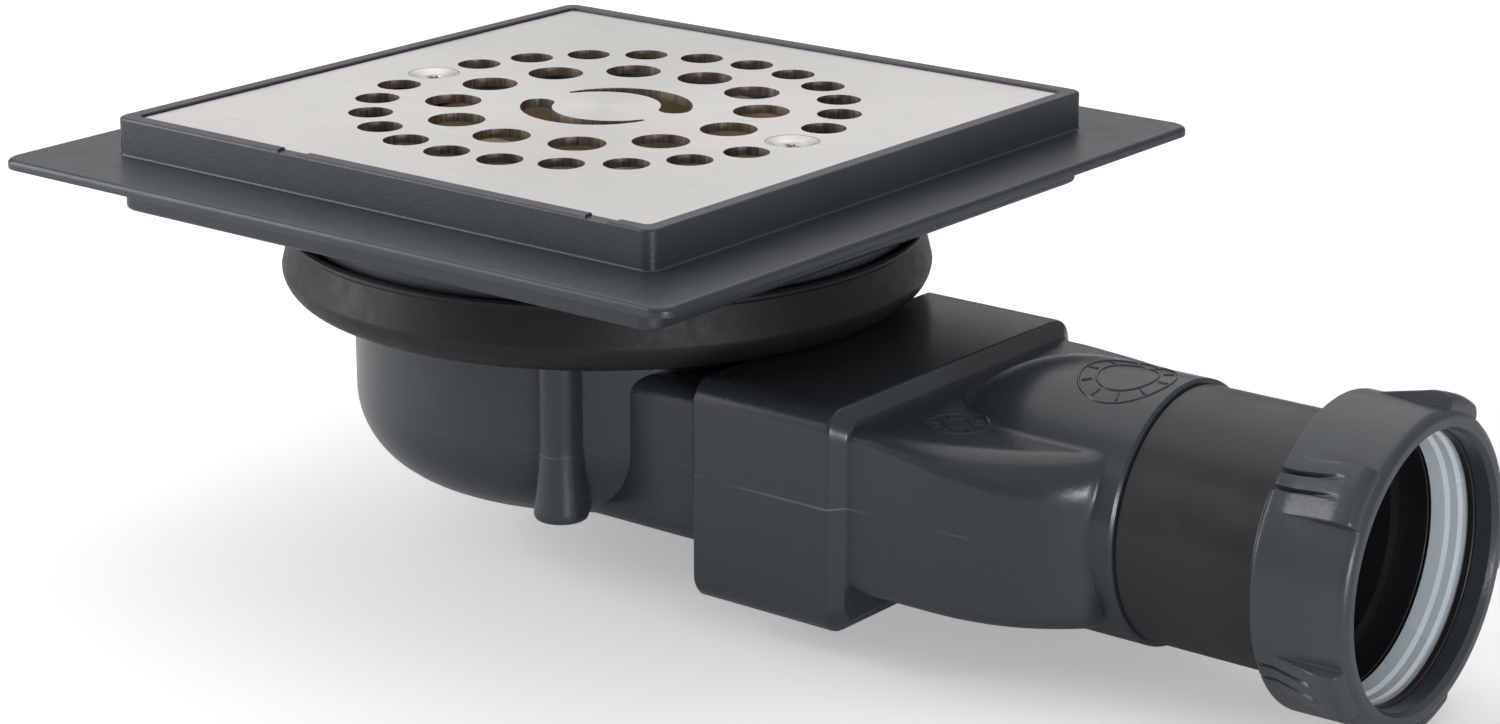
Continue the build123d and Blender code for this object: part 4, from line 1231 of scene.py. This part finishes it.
# ---------------------------------------------------------------------------------------------
# Trap insert: cream polypropylene ring with a lifting bar, a dip tube and a cup round its end.
# It drops on the neck's seat, sealed by an O-ring, and lifts out for cleaning.
cream = mould_plastic(
    "cream polypropylene", (0.60, 0.50, 0.34), (0.72, 0.63, 0.46), 0.30, 0.45, 0.00003,
    {"Grain": 1600.0, "Flow": 30.0, "Rub": 90.0}, Subsurface_Weight=0.15, Subsurface_Scale=0.003)
ring_low, ring_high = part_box("trap_ring")
RING_R = ring_high.x
TUBE_R = 0.0240
TUBE_WALL = 0.0016
trap_ring = turned(softened([
    (RING_R, ring_low.z, 0.0004), (RING_R, ring_low.z + 0.002, 0.0001),
    (RING_R - 0.00125, ring_low.z + 0.002, 0.0001),
    (RING_R - 0.00125, ring_low.z + 0.004, 0.0001), (RING_R, ring_low.z + 0.004, 0.0001),
    (RING_R, ring_low.z + 0.007, 0.0002), (RING_R - 0.0004, ring_low.z + 0.007, 0.0001),
    (RING_R - 0.0004, ring_high.z, 0.0006), (RING_R - 0.0018, ring_high.z, 0.0006),
    (RING_R - 0.0018, ring_low.z + 0.005, 0.0020), (TUBE_R - TUBE_WALL, ring_low.z + 0.001, 0.0008),
    (TUBE_R - TUBE_WALL, ring_low.z, 0)]))
BAR_HALF = 0.0025
bar_low = rim_top - 0.0135
BAR_REACH = RING_R - 0.0015
BAR_STATIONS = 24


def bar_top(x):
    """Bar's upper line: it rises to a finger grip in the middle."""
    share = min(max((0.0125 - abs(x)) / 0.005, 0.0), 1.0)
    return bar_low + 0.003 + 0.001 * share * share * (3 - 2 * share)


bar_rings = [[(-BAR_REACH, 0.0, bar_low + 0.0015)]]
for step in range(BAR_STATIONS + 1):
    x = BAR_REACH * (2 * step / BAR_STATIONS - 1)
    section = softened([(BAR_HALF, bar_low, 0.0006), (BAR_HALF, bar_top(x), 0.0010),
                        (-BAR_HALF, bar_top(x), 0.0010), (-BAR_HALF, bar_low, 0.0006)])
    bar_rings.append([(x, y, z) for y, z in section])
bar_rings.append([(BAR_REACH, 0.0, bar_low + 0.0015)])
bar = close_form("bar", skin_rings(bar_rings, closed=False))
deliver(shade(join("trap_ring_piece", [trap_ring, bar]), cream), "trap_unit", "cream_pp", "trap_ring")

tube_low, tube_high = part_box("dip_tube")
dip_tube = turned(softened([(TUBE_R, tube_high.z, 0), (TUBE_R, tube_low.z, 0.0005),
                            (TUBE_R - TUBE_WALL, tube_low.z, 0.0005), (TUBE_R - TUBE_WALL, tube_high.z, 0)]),
                  turns=96, name="dip_tube_piece")
deliver(shade(dip_tube, cream), "trap_unit", "cream_pp", "dip_tube")

cup_low, cup_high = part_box("trap_cup")
CUP_R = cup_high.x
CUP_WALL = 0.0016
cup_shell = turned(softened([
    (0.0, cup_low.z, 0), (CUP_R, cup_low.z, 0.0040), (CUP_R, cup_high.z, 0.0005),
    (CUP_R - CUP_WALL, cup_high.z, 0.0005), (CUP_R - CUP_WALL, cup_low.z + CUP_WALL, 0.0026),
    (0.0, cup_low.z + CUP_WALL, 0)], closed=False, steps=6), turns=120)
fin_section = softened([(TUBE_R + 0.0001, rim_top - 0.0505, 0.0004), (CUP_R - 0.0008, rim_top - 0.0505, 0),
                        (CUP_R - 0.0008, rim_top - 0.0395, 0), (TUBE_R + 0.0001, rim_top - 0.0395, 0.0015)])
fin_middle = Vector((TUBE_R / 2 + CUP_R / 2, 0.0, rim_top - 0.045))
fin_rings = [[(fin_middle.x, y, fin_middle.z)] if cap else [(x, y, z) for x, z in fin_section]
             for y, cap in ((-0.0008, True), (-0.0008, False), (0.0008, False), (0.0008, True))]
fins = repeat_round(close_form("fin", skin_rings(fin_rings, closed=False)), 3, 0.0, 30.0, cream)
deliver(shade(join("trap_cup_piece", [cup_shell, fins]), cream), "trap_unit", "cream_pp", "trap_cup")


# Seals: an O-ring round the trap insert and a lip seal in the neck's groove, both black rubber.
seal_rubber = mould_plastic("seal rubber", (0.011, 0.011, 0.011), (0.018, 0.018, 0.018), 0.45, 0.6, 0.00003)
oring_low, oring_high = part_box("trap_o_ring")
oring_r = (oring_high.z - oring_low.z) / 2
oring_middle = (oring_high.z + oring_low.z) / 2
oring_outline = [(oring_high.x - oring_r + oring_r * cos(2 * pi * step / 16),
                  oring_middle + oring_r * sin(2 * pi * step / 16)) for step in range(16)]
deliver(shade(turned(oring_outline, turns=120, name="trap_o_ring_piece"), seal_rubber),
        "trap_unit", "black_rubber", "trap_o_ring")
lip_low, lip_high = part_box("neck_lip_seal")
lip_seal = turned(softened([
    (GROOVE_R + 0.00005, lip_low.z, 0.0003), (NECK_OUT, lip_low.z, 0.0003),
    (lip_high.x, lip_low.z + 0.0009, 0.0003),
    (lip_high.x, lip_high.z - 0.0009, 0.0003), (NECK_OUT, lip_high.z - 0.0006, 0.0003),
    (NECK_OUT, lip_high.z, 0.0002), (GROOVE_R + 0.00005, lip_high.z, 0.0003)]), turns=120,
    name="neck_lip_seal_piece")
deliver(shade(lip_seal, seal_rubber), "neck_seal", "black_rubber", "neck_lip_seal")


# ---------------------------------------------------------------------------------------------
# Clamp: three zinc-plated screws pull a grey ring down on the collar's web. The ring and the
# rubber profile in the adapter's socket keep their design shapes and only take their finishes.
zinc = finish_metal("zinc plate", (0.52, 0.54, 0.56), (0.66, 0.67, 0.68), 0.26, 0.00001, fineness=260.0)
clamp_low, clamp_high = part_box("clamp_screws")
CLAMP_CIRCLE = 0.0444
CLAMP_HEAD_R = 0.0029
CLAMP_SHANK_R = 0.0015
head_low = clamp_high.z - 0.00215
clamp_outline = softened([(0.0, clamp_high.z, 0), (CLAMP_HEAD_R, clamp_high.z - 0.0002, 0.0009),
                          (CLAMP_HEAD_R, head_low, 0.0002), (CLAMP_SHANK_R, head_low, 0)], closed=False)
clamp_outline += thread_outline(CLAMP_SHANK_R - 0.0003, CLAMP_SHANK_R, head_low - 0.0006,
                                clamp_low.z + 0.0012)
clamp_outline += [(CLAMP_SHANK_R - 0.0004, clamp_low.z + 0.0006), (0.0, clamp_low.z)]
clamp_screw = turned(clamp_outline, turns=32)
carve(clamp_screw, cross_cutter(0.0034, 0.0008, clamp_high.z - 0.0011, clamp_high.z + 0.0003))
clamp_screws = repeat_round(clamp_screw, 3, CLAMP_CIRCLE, 60.0, zinc)
clamp_screws.name = "clamp_screws_piece"
deliver(shade(clamp_screws, zinc), "drain_body", "zinc_screw", "clamp_screws")

for node, finish in (("clamp_ring", bowl_plastic), ("spigot_seal", seal_rubber)):
    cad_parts[node].data.materials.clear()
    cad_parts[node].data.materials.append(finish)
